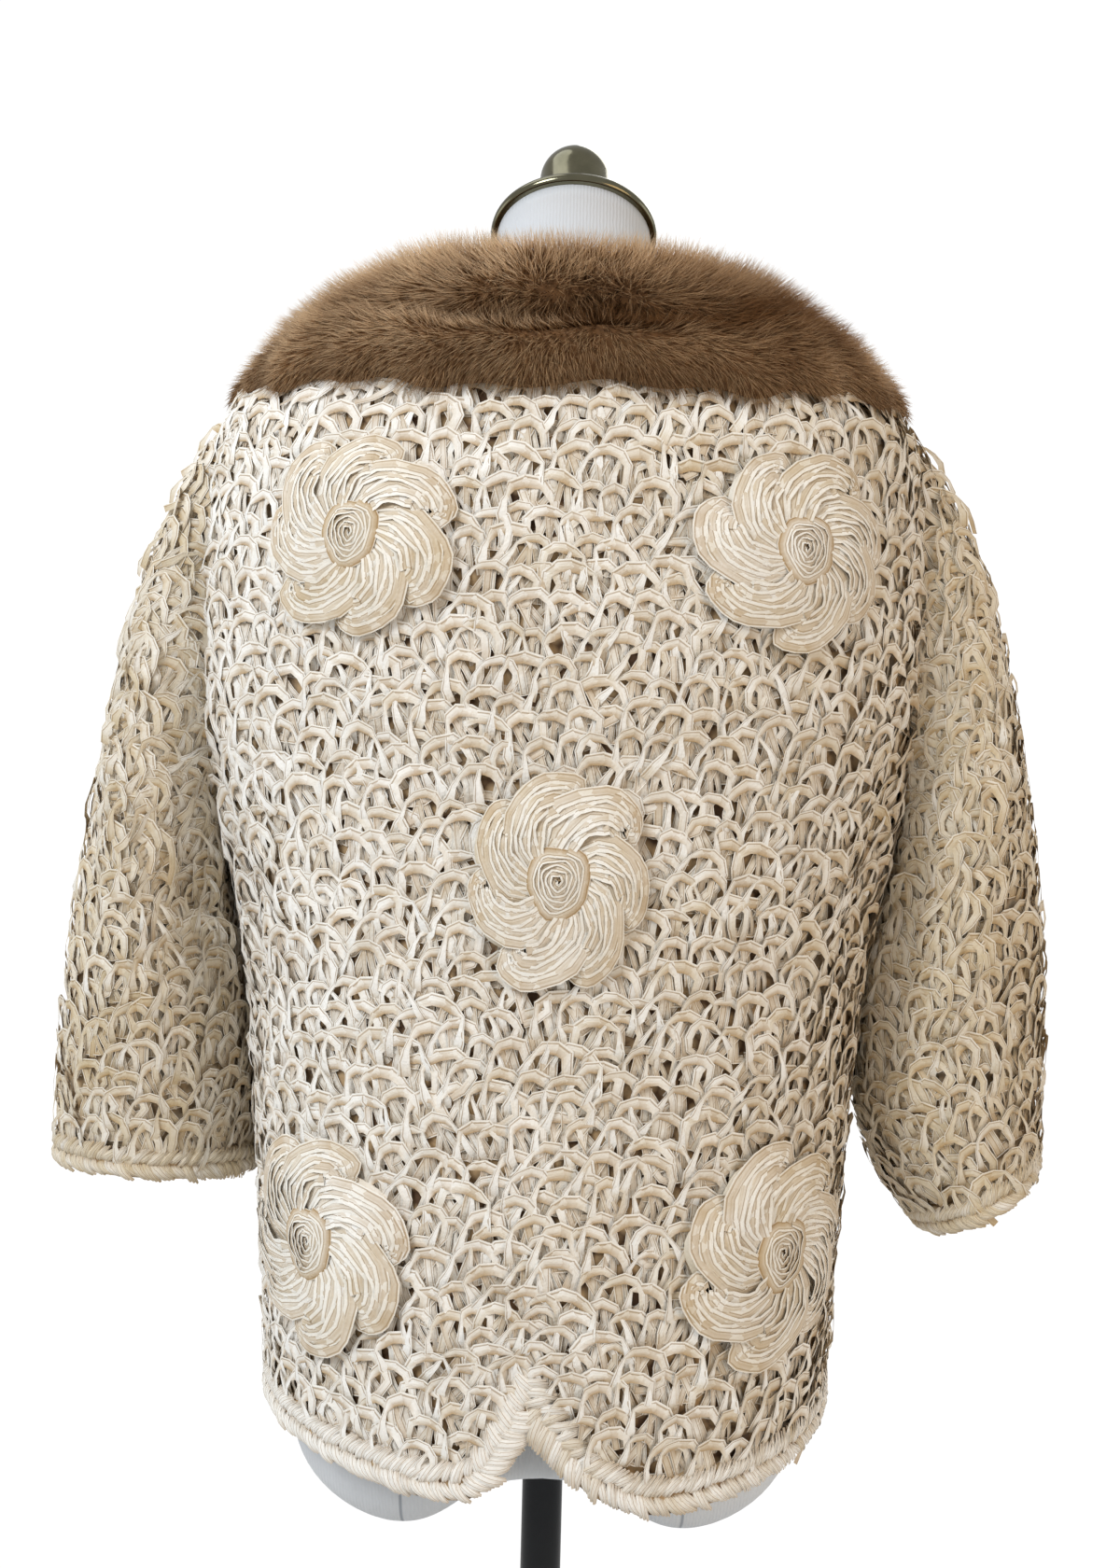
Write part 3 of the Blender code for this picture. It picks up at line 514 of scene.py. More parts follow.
def thin_sheet(name, outer, inner, material, closed=False, outside=1.0):
    """A closed thin sheet between two grids of points; side, its share of painted shade, is 0 inside and
    outside on its outer face.
    """
    outer, inner = np.asarray(outer), np.asarray(inner)
    rows, columns = outer.shape[:2]
    count = rows * columns
    faces = grid_faces(rows, columns, closed)
    faces += [[i + count for i in reversed(face)] for face in faces]
    index = np.arange(count).reshape(rows, columns)
    edges = [index[0, ::-1], index[-1]]
    if closed:
        edges = [np.append(index[0, ::-1], index[0, -1]), np.append(index[-1], index[-1, 0])]
    else:
        edges += [index[:, 0], index[::-1, -1]]
    for edge in edges:
        faces += [[int(a), int(b), int(b) + count, int(a) + count] for a, b in zip(edge[:-1], edge[1:])]
    points = np.concatenate((outer.reshape(-1, 3), inner.reshape(-1, 3)))
    side = np.concatenate((np.broadcast_to(outside, (rows, columns)).ravel(), np.zeros(count)))
    return make_mesh(name, points, faces, material, side=side)


# Ribbon ground: the deep layer of straw ribbon seen between the stitches. Its outer face is painted tan
# with dark brown spots, painted shade and shadow for the holes; inside the garment it is pale cream
# with the ribbon's ends lying in rows.
ROW_PITCH = 0.0138
ground, tree, shader = new_material("straw_ribbon_ground", Roughness=0.75)
place = add_node(tree, "ShaderNodeTexCoord")
side = add_node(tree, "ShaderNodeAttribute", attribute_name="side")
rows = add_node(tree, "ShaderNodeTexWave", {
    "Vector": place.outputs["Object"], "Scale": math.pi / (10 * ROW_PITCH), "Distortion": 5.0,
    "Detail": 2.0, "Detail Scale": 6.0}, bands_direction="Z")
strands = add_node(tree, "ShaderNodeTexVoronoi", {
    "Vector": place.outputs["Object"], "Scale": 1 / 0.009}, feature="F1")
# Painted shadow: dark brown spots among the painted tan shade.
painted_hole_shadow = add_node(tree, "ShaderNodeMapRange", {
    "Value": strands.outputs["Distance"], "From Min": 0.38, "From Max": 0.70})
painted_shade_tone = add_node(tree, "ShaderNodeMix", {
    0: painted_hole_shadow, 6: linear("#bb9d74"), 7: linear("#5a3f25")}, data_type="RGBA")
inner_tone = add_node(tree, "ShaderNodeMix", {
    0: rows.outputs["Fac"], 6: linear("#a8906c"), 7: linear("#e0d3b9")}, data_type="RGBA")
tone = add_node(tree, "ShaderNodeMix", {
    0: side.outputs["Fac"], 6: inner_tone, 7: painted_shade_tone}, data_type="RGBA")
relief = add_node(tree, "ShaderNodeBump", {
    "Strength": 0.3, "Distance": 0.0012, "Height": rows.outputs["Fac"]})
set_inputs(tree, shader, {"Base Color": tone, "Normal": relief})


def panel_levels():
    arm = ARM_MIDDLE + ARM_HALF * np.cos(np.linspace(math.pi, 0, ARM_ROWS))
    below = np.linspace(HEM_LEVEL, arm[0], LOW_ROWS)[:-1]
    above = np.linspace(arm[-1], NECK_LEVEL, HIGH_ROWS)[1:]
    return np.concatenate((below, arm, above))


def panel_edge(level, front):
    """Angle from the nearer centre line to the side seam or the armhole."""
    return QUARTER - SIDE_SEAM - armhole_reach(level, ARM_FRONT if front else ARM_BACK)


def panel_sheet(name, front, side):
    levels = panel_levels()[:, None]
    edge = panel_edge(levels, front)
    if front:
        turn = np.linspace(edge[:, 0], np.full(len(levels), FRONT_BAND), PANEL_COLUMNS, axis=1)
        angles = side * (math.pi - turn)
        angles = angles if side > 0 else angles[:, ::-1]
    else:
        middle = np.full(len(levels), NOTCH_TURN)
        left = np.linspace(-edge[:, 0], middle, PANEL_COLUMNS, axis=1)
        right = np.linspace(middle, edge[:, 0], PANEL_COLUMNS, axis=1)
        angles = np.hstack((left[:, :-1], right))
    points = cloth(angles, levels)
    out = normals(cloth, angles, levels)
    # The ground's painted shade weakens towards the sides.
    outside = 1 - SIDE_PALING * np.clip((np.abs(np.sin(angles)) - SIDE_FROM) / SIDE_SPAN, 0, 1)
    return thin_sheet(name, points + out * GROUND_OUT, points + out * GROUND_IN, ground, outside=outside)


def hang_sheet(mesh, node):
    """A garment panel: a piece of the part that stands for its solid."""
    dress(mesh, node)


# The crochet: each stitch is an arch of flat straw ribbon pulled through the row below,
# twisted at one foot, with three strands fanning out inside it. The arches lie in rows,
# set like bricks, their tops standing out over the row above.
STITCH_PITCH = 0.0148
# One arch from its right foot to its left: place across, up and out of the cloth, width as a
# share of the ribbon's, tip to the right and up, and painted shade at its inner and outer edges, above 1
# a painted highlight.
ARCH = (
    (0.0050, -0.0170, -0.0034, 0.80, 0.05, 0.00, 0.40, 0.42),
    (0.0080, -0.0100, -0.0026, 0.85, 0.10, 0.00, 0.56, 0.66),
    (0.0097, -0.0030, -0.0012, 0.92, 0.20, 0.05, 0.74, 0.98),
    (0.0092, 0.0032, 0.0000, 1.05, 0.30, 0.10, 0.80, 1.10),
    (0.0064, 0.0074, 0.0008, 1.22, 0.20, -0.10, 0.42, 1.10),
    (0.0014, 0.0090, 0.0010, 1.30, 0.05, -0.25, 0.16, 0.95),
    (-0.0036, 0.0078, 0.0009, 1.10, -0.10, -0.25, 0.12, 0.90),
    (-0.0068, 0.0042, 0.0009, 0.42, 0.10, 0.00, 0.60, 1.00),
    (-0.0084, -0.0010, 0.0010, 0.60, 0.10, 0.10, 1.10, 1.10),
    (-0.0094, -0.0064, 0.0003, 1.02, 0.05, 0.15, 1.10, 1.10),
    (-0.0098, -0.0122, -0.0032, 1.10, 0.00, 0.20, 0.55, 0.55),
)
RIBBON_WIDTH = 0.0047
RIBBON_CROWN = 0.00015
STRAND_WIDTH = 0.0042
STITCH_KINDS = 12
CURLED_FOOT = ((0.0000, -0.0098, -0.0014), (0.0058, -0.0084, -0.0010))
# How far one arch differs from the next: its spread and height as shares, its slant, the drift
# of its points across, up and out, the tip of its face, and its ribbon's width as a share.
ARCH_SPREADS = (0.80, 1.30)
ARCH_HEIGHTS = (0.88, 1.18)
ARCH_SLANT = 0.25
ARCH_DRIFT = (0.0006, 0.0005, 0.0002)
ARCH_TIP = 0.12
ARCH_WIDTHS = (0.85, 1.12)
# The strands in an arch: each one's foot and head across and its depth; the heights and depths
# of their foot, middle and head; how far foot and head stray; and their painted shades and spread.
STRANDS = ((-0.0056, 0.0004, 0.0004), (0.0008, -0.0010, 0.0), (0.0062, 0.0006, 0.0008))
STRAND_RISE = ((-0.0088, -0.0020), (-0.0010, -0.0007), (0.0068, -0.0009))
FOOT_STRAY = 0.0016
HEAD_STRAY = 0.0022
STRAND_SHADES = (0.62, 0.86, 0.50)
STRAND_SHARES = (0.75, 1.1)
# The bar is the top of the row below, seen under the arch in painted shade.
BAR = ((-0.0094, -0.0056, -0.0031), (0.0, -0.0076, -0.0026), (0.0094, -0.0060, -0.0031))
BAR_STRAY = 0.0012
BAR_FACE = (0.0, 0.30, 0.90)
BAR_SHADE = 0.55


def ribbon(path, face, width, crown, inner=-0.5):
    """A ribbon along a path, its middle standing out towards face: points, faces, place across it."""
    path = np.asarray(path, float)
    count = len(path)
    along = unit(np.gradient(path, axis=0))
    across = unit(np.cross(along, face))
    face = unit(np.cross(across, along))
    half = np.broadcast_to(np.asarray(width, float), (count,))[:, None] / 2
    section = np.stack((path - across * half, path + face * crown, path + across * half), axis=1)
    faces = []
    for i in range(0, count * 3 - 3, 3):
        for a, b in ((0, 1), (1, 2), (2, 0)):
            faces.append([i + b, i + a, i + 3 + a, i + 3 + b])
    faces.append([0, 1, 2])
    faces.append([count * 3 - 1, count * 3 - 2, count * 3 - 3])
    place = np.tile((inner, 0.0, 0.5), count) * RIBBON_WIDTH
    return section.reshape(-1, 3), faces, place


def ribbon_shape(name, strips, rng):
    """A mesh of several ribbons, each with its painted shade; grain holds place across, streak and
    painted shade.
    """
    points, faces, grain = [], [], []
    for (strip_points, strip_faces, place), shade in strips:
        start = sum(len(p) for p in points)
        points.append(strip_points)
        faces += [[i + start for i in face] for face in strip_faces]
        streak = np.full(len(place), rng.uniform(0, 1))
        grain.append(np.stack((place, streak, np.broadcast_to(shade, place.shape)), axis=-1))
    mesh = make_mesh(name, np.concatenate(points), faces, None, grain=np.concatenate(grain))
    mesh.set_sharp_from_angle(angle=math.radians(50))
    return mesh


def stitch(kind):
    """An arch of flat ribbon, twisted at one foot, with strands fanning out inside it and a bar below."""
    rng = np.random.default_rng(40 + kind)
    arch = np.array(ARCH)
    count = len(arch)
    path = arch[:, :3] * (rng.uniform(*ARCH_SPREADS), rng.uniform(*ARCH_HEIGHTS), 1.0)
    path[:, 0] += path[:, 1] * rng.uniform(-ARCH_SLANT, ARCH_SLANT)
    path += rng.normal(0, 1, (count, 3)) * ARCH_DRIFT
    if kind % 4 == 1:
        path[:2] = CURLED_FOOT
    face = unit(np.column_stack((arch[:, 4:6] + rng.normal(0, ARCH_TIP, (count, 2)), np.ones(count))))
    width = RIBBON_WIDTH * arch[:, 3] * rng.uniform(*ARCH_WIDTHS)
    inner, outer = arch[:, 6], arch[:, 7]
    shade = np.stack((inner, inner * 0.2 + outer * 0.8, outer), axis=1)
    if kind % 6 == 5:
        path = path[::-1] * (-1, 1, 1)
        face = face[::-1] * (-1, 1, 1)
        width = width[::-1]
        shade = shade[::-1]
    strips = [(ribbon(path, face, width, RIBBON_CROWN, inner=-0.25), shade.ravel())]
    for foot, head, deep in STRANDS:
        foot += rng.uniform(-FOOT_STRAY, FOOT_STRAY)
        head += rng.uniform(-HEAD_STRAY, HEAD_STRAY)
        strand = np.column_stack(((foot, (foot + head) / 2, head), STRAND_RISE))
        strand[:, 2] -= deep
        tip = np.array((rng.uniform(-0.5, 0.5), rng.uniform(-0.1, 0.3), 0.9))
        width = STRAND_WIDTH * rng.uniform(*STRAND_SHARES)
        shade = np.repeat(STRAND_SHADES, 3) * rng.uniform(*STRAND_SHARES)
        strips.append((ribbon(strand, np.tile(tip, (3, 1)), width, RIBBON_CROWN), shade))
    bar = np.array(BAR)
    bar[:, 1] += rng.uniform(-BAR_STRAY, BAR_STRAY, 3)
    strips.append((ribbon(bar, np.tile(BAR_FACE, (3, 1)), RIBBON_WIDTH, RIBBON_CROWN), BAR_SHADE))
    return ribbon_shape(f"stitch_{kind:02d}", strips, rng)


def sewing_tree():
    """Sets shapes from a collection on points, each turned to its own axes, then makes one mesh."""
    tree = bpy.data.node_groups.new("sewn_shapes", "GeometryNodeTree")
    for name, kind in (("Points", "Geometry"), ("Shapes", "Collection"), ("Material", "Material"),
                       ("Size spread", "Float"), ("Turn spread", "Float"), ("Tip spread", "Float"),
                       ("Seed", "Int")):
        tree.interface.new_socket(name, in_out="INPUT", socket_type="NodeSocket" + kind)
    tree.interface.new_socket("Sewn", in_out="OUTPUT", socket_type="NodeSocketGeometry")
    given = add_node(tree, "NodeGroupInput")
    out, up, size, kind = (
        add_node(tree, "GeometryNodeInputNamedAttribute", {"Name": name}, data_type=data_type)
        for name, data_type in (("out", "FLOAT_VECTOR"), ("up", "FLOAT_VECTOR"),
                                ("size", "FLOAT_VECTOR"), ("kind", "FLOAT")))
    axes = add_node(tree, "FunctionNodeAxesToRotation", {
        "Primary Axis": out, "Secondary Axis": up}, primary_axis="Z", secondary_axis="Y")
    most = add_node(tree, "ShaderNodeCombineXYZ", {
        "X": given.outputs["Tip spread"], "Y": given.outputs["Tip spread"],
        "Z": given.outputs["Turn spread"]})
    least = add_node(tree, "ShaderNodeVectorMath", {0: most, 3: -1.0}, operation="SCALE")
    sway = add_node(tree, "FunctionNodeRandomValue", {
        0: least, 1: most, "Seed": given.outputs["Seed"]}, data_type="FLOAT_VECTOR")
    by = add_node(tree, "FunctionNodeEulerToRotation", {0: sway})
    turned_axes = add_node(tree, "FunctionNodeRotateRotation", {0: axes, 1: by}, rotation_space="LOCAL")
    small = add_node(tree, "ShaderNodeMath", {
        0: 1.0, 1: given.outputs["Size spread"]}, operation="SUBTRACT")
    large = add_node(tree, "ShaderNodeMath", {0: 1.0, 1: given.outputs["Size spread"]}, operation="ADD")
    grown = add_node(tree, "FunctionNodeRandomValue", {
        2: small, 3: large, "Seed": given.outputs["Seed"]}, data_type="FLOAT")
    scale = add_node(tree, "ShaderNodeVectorMath", {0: size, 3: grown}, operation="SCALE")
    shapes = add_node(tree, "GeometryNodeCollectionInfo", {
        "Collection": given.outputs["Shapes"], "Separate Children": True, "Reset Children": True})
    sewn = add_node(tree, "GeometryNodeInstanceOnPoints", {
        "Points": given.outputs["Points"], "Instance": shapes, "Pick Instance": True,
        "Instance Index": kind, "Rotation": turned_axes, "Scale": scale})
    real = add_node(tree, "GeometryNodeRealizeInstances", {0: sewn})
    dyed = add_node(tree, "GeometryNodeSetMaterial", {0: real, "Material": given.outputs["Material"]})
    add_node(tree, "NodeGroupOutput", {0: dyed})
    return tree


sewing = sewing_tree()


def shape_box(name, meshes):
    """A collection of shapes to sew with."""
    box = bpy.data.collections.new(name)
    for mesh in meshes:
        box.objects.link(bpy.data.objects.new(mesh.name, mesh))
    return box


def sew(name, shapes, material, points, out, up, size, kind, tint, seed, spreads=(0.0, 0.0, 0.0)):
    """Shapes sewn on points as one plain mesh; spreads are those of size, turn and tip."""
    size = np.broadcast_to(np.asarray(size, float), (3, len(points))).T
    mesh = make_mesh(name + "_places", points, [], None, out=out, up=up, size=size, kind=kind, tint=tint)
    holder = bpy.data.objects.new(name + "_places", mesh)
    bpy.context.scene.collection.objects.link(holder)
    modifier = holder.modifiers.new("sewing", "NODES")
    modifier.node_group = sewing
    given = {"Shapes": shapes, "Material": material, "Seed": seed}
    given.update(zip(("Size spread", "Turn spread", "Tip spread"), spreads))
    for socket in sewing.interface.items_tree:
        if socket.name in given:
            modifier[socket.identifier] = given[socket.name]
    graph = bpy.context.evaluated_depsgraph_get()
    sewn = bpy.data.meshes.new_from_object(holder.evaluated_get(graph), depsgraph=graph)
    sewn.name = name
    bpy.data.objects.remove(holder, do_unlink=True)
    bpy.data.meshes.remove(mesh)
    return sewn


# Straw ribbon: a flat, slightly shiny plant-fibre ribbon in cream, some lengths paler and some tan,
# with fine lengthwise fibres about 0.4 mm apart. Painted highlights lie on its rims, lit faces and
# folded edges, with a tan line of painted shade beside the edges that is drawn twice as wide as it is,
# and painted shade in deeper tan on the stitches' inner faces and tucked feet.
FIBRE = 0.0004
SELVEDGE = 0.0019
FOLD_LINE = 0.0004
straw, tree, shader = new_material("straw_ribbon", Roughness=0.52, Specular_IOR_Level=0.35)
place = add_node(tree, "ShaderNodeTexCoord")
tint = add_node(tree, "ShaderNodeAttribute", attribute_name="tint")
grain = add_node(tree, "ShaderNodeAttribute", attribute_name="grain")
parts = add_node(tree, "ShaderNodeSeparateXYZ", {0: grain.outputs["Vector"]})
across = add_node(tree, "ShaderNodeCombineXYZ", {"X": parts.outputs["X"], "Y": parts.outputs["Y"]})
fibre = add_node(tree, "ShaderNodeTexNoise", {
    "Vector": across, "Scale": 1 / FIBRE, "Detail": 2.0}, noise_dimensions="2D")
patch = add_node(tree, "ShaderNodeTexNoise", {
    "Vector": place.outputs["Object"], "Scale": 1 / 0.011, "Detail": 3.0})
mix_a = add_node(tree, "ShaderNodeMath", {
    0: fibre.outputs["Fac"], 1: 0.45, 2: tint.outputs["Fac"]}, operation="MULTIPLY_ADD")
mix_b = add_node(tree, "ShaderNodeMath", {
    0: patch.outputs["Fac"], 1: 0.7, 2: mix_a}, operation="MULTIPLY_ADD")
pale = add_node(tree, "ShaderNodeMapRange", {"Value": mix_b, "From Min": 0.45, "From Max": 1.30})
# The ribbon's own tone, paler or tanner at random, and tanner where the tint carries painted shade.
dyed = add_node(tree, "ShaderNodeMix", {
    0: pale, 6: linear("#d6c4a1"), 7: linear("#fdf9f0")}, data_type="RGBA")
# Painted shade: deep tan where the grain's shade value is low.
high = add_node(tree, "ShaderNodeMapRange", {
    "Value": parts.outputs["Z"], "From Min": 0.05, "From Max": 0.85})
# Painted highlight: near white where the grain's shade value is above 0.85, weaker on tanner lengths.
painted_highlight = add_node(tree, "ShaderNodeMapRange", {
    "Value": parts.outputs["Z"], "From Min": 0.85, "From Max": 1.10, "To Max": 0.7})
highlight_by_tint = add_node(tree, "ShaderNodeMapRange", {
    "Value": tint.outputs["Fac"], "From Max": 0.4, "To Min": 0.2, "To Max": 1.0})
white = add_node(tree, "ShaderNodeMath", {0: painted_highlight, 1: highlight_by_tint}, operation="MULTIPLY")
bright = add_node(tree, "ShaderNodeMix", {0: white, 6: dyed, 7: linear("#fffdf7")}, data_type="RGBA")
painted_shade_mix = add_node(tree, "ShaderNodeMix", {0: high, 6: linear("#b3905a"), 7: bright}, data_type="RGBA")
# A painted highlight on the folded edge and a painted shade line beside it.
from_middle = add_node(tree, "ShaderNodeMath", {0: parts.outputs["X"]}, operation="ABSOLUTE")
selvedge = add_node(tree, "ShaderNodeMapRange", {
    "Value": from_middle, "From Min": SELVEDGE - 0.0001, "From Max": SELVEDGE + 0.0002})
fold_gap = add_node(tree, "ShaderNodeMath", {
    0: from_middle, 1: SELVEDGE - FOLD_LINE}, operation="SUBTRACT")
fold_off = add_node(tree, "ShaderNodeMath", {0: fold_gap}, operation="ABSOLUTE")
painted_fold_shade = add_node(tree, "ShaderNodeMapRange", {
    "Value": fold_off, "From Min": 0.0, "From Max": FOLD_LINE, "To Min": 0.8, "To Max": 0.0})
lined = add_node(tree, "ShaderNodeMix", {
    0: painted_fold_shade, 6: painted_shade_mix, 7: linear("#9c7a48")}, data_type="RGBA")
edge_highlight = add_node(tree, "ShaderNodeMath", {0: selvedge, 1: 0.6}, operation="MULTIPLY")
tone = add_node(tree, "ShaderNodeMix", {
    0: edge_highlight, 6: lined, 7: linear("#fbf6ea")}, data_type="RGBA")
crinkle = add_node(tree, "ShaderNodeTexNoise", {
    "Vector": place.outputs["Object"], "Scale": 1 / 0.0017, "Detail": 2.0})
folds = add_node(tree, "ShaderNodeMath", {
    0: crinkle.outputs["Fac"], 1: 1.6, 2: fibre.outputs["Fac"]}, operation="MULTIPLY_ADD")
relief = add_node(tree, "ShaderNodeBump", {"Strength": 0.6, "Distance": 0.0005, "Height": folds})
set_inputs(tree, shader, {"Base Color": tone, "Normal": relief})

stitches = shape_box("stitches", [stitch(kind) for kind in range(STITCH_KINDS)])

COLLAR_EDGE_BACK = 0.820
COLLAR_EDGE_SIDE = 0.824
COLLAR_EDGE_FRONT = 0.785
# Each flower: its name, its angle and level on the back, its radius, and its turn.
FLOWERS = (
    ("upper_left", -0.515, 0.742, 0.050, 0.2),
    ("upper_right", 0.585, 0.740, 0.050, 0.9),
    ("middle", 0.0, 0.572, 0.053, 0.5),
    ("lower_left", -0.800, 0.388, 0.053, 0.1),
    ("lower_right", 0.760, 0.390, 0.053, 0.7),
)
UNDER_FLOWER = 0.72
BODY_TINT = 0.48
# Painted light: the tint falls from the left of the back to the right, paler where the light is stronger.
PAINTED_LIGHT_SLOPE = 0.22
UNDER_COLLAR = 0.016
ROW_POINTS = 241
FIRST_ROW = 0.003
FRONT_LEAVE = 0.02
# How far stitches are out of line: the slow drift of a row, then each stitch's own shift
# across, up and out, its tint, and the spread of its size, turn and tip.
ROW_DRIFTS = (0.0030, 0.0022)
STITCH_SHIFT = 0.0022
STITCH_RISE = 0.0018
STITCH_DEPTH = 0.0004
STITCH_TINT_SPREAD = 0.09
STITCH_SPREADS = (0.14, 0.34, 0.10)


def collar_edge(angle):
    c = np.cos(angle)
    end = np.where(c > 0, COLLAR_EDGE_BACK, COLLAR_EDGE_FRONT)
    return COLLAR_EDGE_SIDE + (end - COLLAR_EDGE_SIDE) * c * c


def run_along(points):
    """The distance along a line at each of its points."""
    return np.concatenate(([0.0], np.cumsum(np.linalg.norm(np.diff(points, axis=0), axis=1))))


def brick_rows(surface, rows, pitch):
    """Places on a surface one pitch apart, in rows set like bricks; a row is its two ends and its v."""
    u, v = [], []
    for number, (low, high, level) in enumerate(rows):
        fine = np.linspace(low, high, ROW_POINTS)
        run = run_along(surface(fine, np.full_like(fine, level)))
        count = max(1, round(run[-1] / pitch))
        shift = 0.25 + 0.5 * (number % 2)
        u.append(np.interp((np.arange(count) + shift) / count * run[-1], run, fine))
        v.append(np.full(count, level))
    return np.concatenate(u), np.concatenate(v)


def crochet(name, surface, u, v, out, up, pale, seed, size=1.0):
    """Stitches on a surface, each a little out of line; pale is their mean tint, painted light and shade
    included.
    """
    rng = np.random.default_rng(seed)
    count = len(u)
    right = np.cross(up, out)
    wide, narrow = ROW_DRIFTS
    drift = wide * np.sin(u * 5 + v * 17 + seed) + narrow * np.sin(u * 13 - v * 29)
    points = surface(u, v) + right * rng.normal(0, STITCH_SHIFT, (count, 1)) + up * drift[:, None]
    points = points + up * rng.normal(0, STITCH_RISE, (count, 1))
    points = points + out * rng.normal(-STITCH_DEPTH, STITCH_DEPTH, (count, 1))
    kind = rng.integers(0, STITCH_KINDS, count)
    tint = np.clip(rng.normal(pale, STITCH_TINT_SPREAD, count), 0, 1)
    sizes = np.full(count, size)
    return sew(name, stitches, straw, points, out, up, sizes, kind, tint, seed, STITCH_SPREADS)


def panel_crochet(name, front, side, seed):
    rows = []
    for level in np.arange(HEM_LEVEL + FIRST_ROW, COLLAR_EDGE_SIDE + UNDER_COLLAR, ROW_PITCH):
        edge = float(panel_edge(level, front))
        ends = (-edge, edge)
        if front:
            ends = sorted((side * (math.pi - edge), side * (math.pi - FRONT_BAND - FRONT_LEAVE)))
        rows.append((*ends, level))
    u, v = brick_rows(cloth, rows, STITCH_PITCH)
    keep = v < collar_edge(u) + UNDER_COLLAR
    points = cloth(u, v)
    for _, angle, level, radius, _ in FLOWERS:
        keep &= np.linalg.norm(points - cloth(angle, level), axis=-1) > radius * UNDER_FLOWER
    u, v = u[keep], v[keep]
    out = normals(cloth, u, v)
    _, up = tangents(cloth, u, v, 0.02, 0.003)
    # The tint falls from left to right: painted light across the panel.
    return crochet(name, cloth, u, v, out, up, BODY_TINT - PAINTED_LIGHT_SLOPE * np.sin(u), seed)


for node, front, side, seed in (
        ("back", False, 0, 1), ("front_left", True, -1, 2), ("front_right", True, 1, 3)):
    rings = dress(panel_crochet("crochet_" + node, front, side, seed))
    panel = panel_sheet("jacket_" + node, front, side)
    hang_sheet(panel, node)


# The sleeves: wide crocheted tubes set into the armholes, straight at the cuff, with soft
# folds where they leave the shoulder. They are worked in the same rows of stitches.
# Each sleeve: its name and side, its cuff's middle, half width, half depth and roll, how far it
# leaves the shoulder, how its outer and inner lines lean at the cuff, and how far they run straight.
SLEEVES = (
    ("left", -1, 0.2195, 0.020, 0.420, 0.0560, 0.060, 0.04, 0.047, 0.00, 0.00, 0.150, 0.080),
    ("right", 1, 0.2335, 0.020, 0.412, 0.0430, 0.066, 0.54, 0.056, -0.05, 0.72, 0.140, 0.090),
)
# Each fold: its side, its place round the sleeve, width and depth, and the shares it runs between.
SLEEVE_FOLDS = (
    (-1, 2.25, 0.30, 0.007, 0.10, 0.95),
    (-1, 0.75, 0.35, 0.003, 0.35, 0.90),
    (-1, 4.00, 0.30, 0.006, 0.10, 0.80),
    (1, 2.30, 0.30, 0.007, 0.10, 0.85),
    (1, 1.05, 0.30, 0.005, 0.45, 1.00),
    (1, 4.00, 0.30, 0.006, 0.10, 0.80),
)
# Painted shade: the sleeves' tints are low, so the sleeves are tanner and take less painted highlight.
SLEEVE_SHADED_TINTS = {"left": 0.12, "right": 0.0}
SLEEVE_STITCH = 0.9
# The share of the ground's painted shade on the sleeves' outer face.
SLEEVE_GROUND = 0.5
STITCHED_SHARES = (0.012, 0.985)
SLEEVE_COLUMNS = 72
SLEEVE_ROWS = 49
INNER_LEAVE = 0.002
LEAVE_SPREAD = 0.016
LEAVE_SWELL = 0.022
OUTER_DROP = 0.060
INNER_DROP = 0.045
ARRIVE_SPREAD = 0.12


def sleeve_surface(row):
    """Points on a sleeve's outer face; turn goes from the shoulder over the back, along to the cuff."""
    _, side, cuff_x, cuff_y, cuff_z, wide, deep, roll, *shape = row
    leave_out, lean_out, lean_in, reach_out, reach_in = shape

    def surface(turn, along):
        turn, along = np.broadcast_arrays(np.asarray(turn, float), np.asarray(along, float))
        s, c = np.sin(turn), np.cos(turn)
        mirror = np.array((side, 1, 1))
        outer, inner = (1 + c) / 2, (1 - c) / 2
        arm_angle = QUARTER - np.where(s > 0, ARM_BACK, ARM_FRONT) * s
        start = cloth(side * arm_angle, ARM_MIDDLE + ARM_HALF * c) * mirror
        leave = np.stack((leave_out * outer + INNER_LEAVE * inner + LEAVE_SWELL * s * s,
                          -LEAVE_SPREAD * s, -OUTER_DROP * outer - INNER_DROP * inner), axis=-1)
        end = np.stack((cuff_x + wide * c * math.cos(roll), cuff_y - deep * s,
                        cuff_z + wide * c * math.sin(roll)), axis=-1)
        lean = lean_out * outer + lean_in * inner
        reach = (reach_out * outer + reach_in * inner)[..., None]
        arrive = reach * np.stack((-np.sin(lean), -ARRIVE_SPREAD * s, np.cos(lean)), axis=-1)
        t = along[..., None]
        r = 1 - t
        point = (start * r ** 3 + (start + leave) * 3 * r * r * t
                 + (end + arrive) * 3 * r * t * t + end * t ** 3)
        for fold_side, middle, width, depth, low, high in SLEEVE_FOLDS:
            if fold_side == side:
                away = (turn - middle + math.pi) % (2 * math.pi) - math.pi
                share = np.exp(-(away / width) ** 2) * bump(along, low, high) * depth
                point[..., 0] -= share * c
                point[..., 1] += share * s
        return point * mirror

    return surface


def sleeve_axes(surface, side, turn, along):
    inside = np.clip(along, 0.012, 0.99)
    around, down = tangents(surface, turn, inside, 0.06, 0.012)
    return unit(np.cross(around, down)) * side, -down


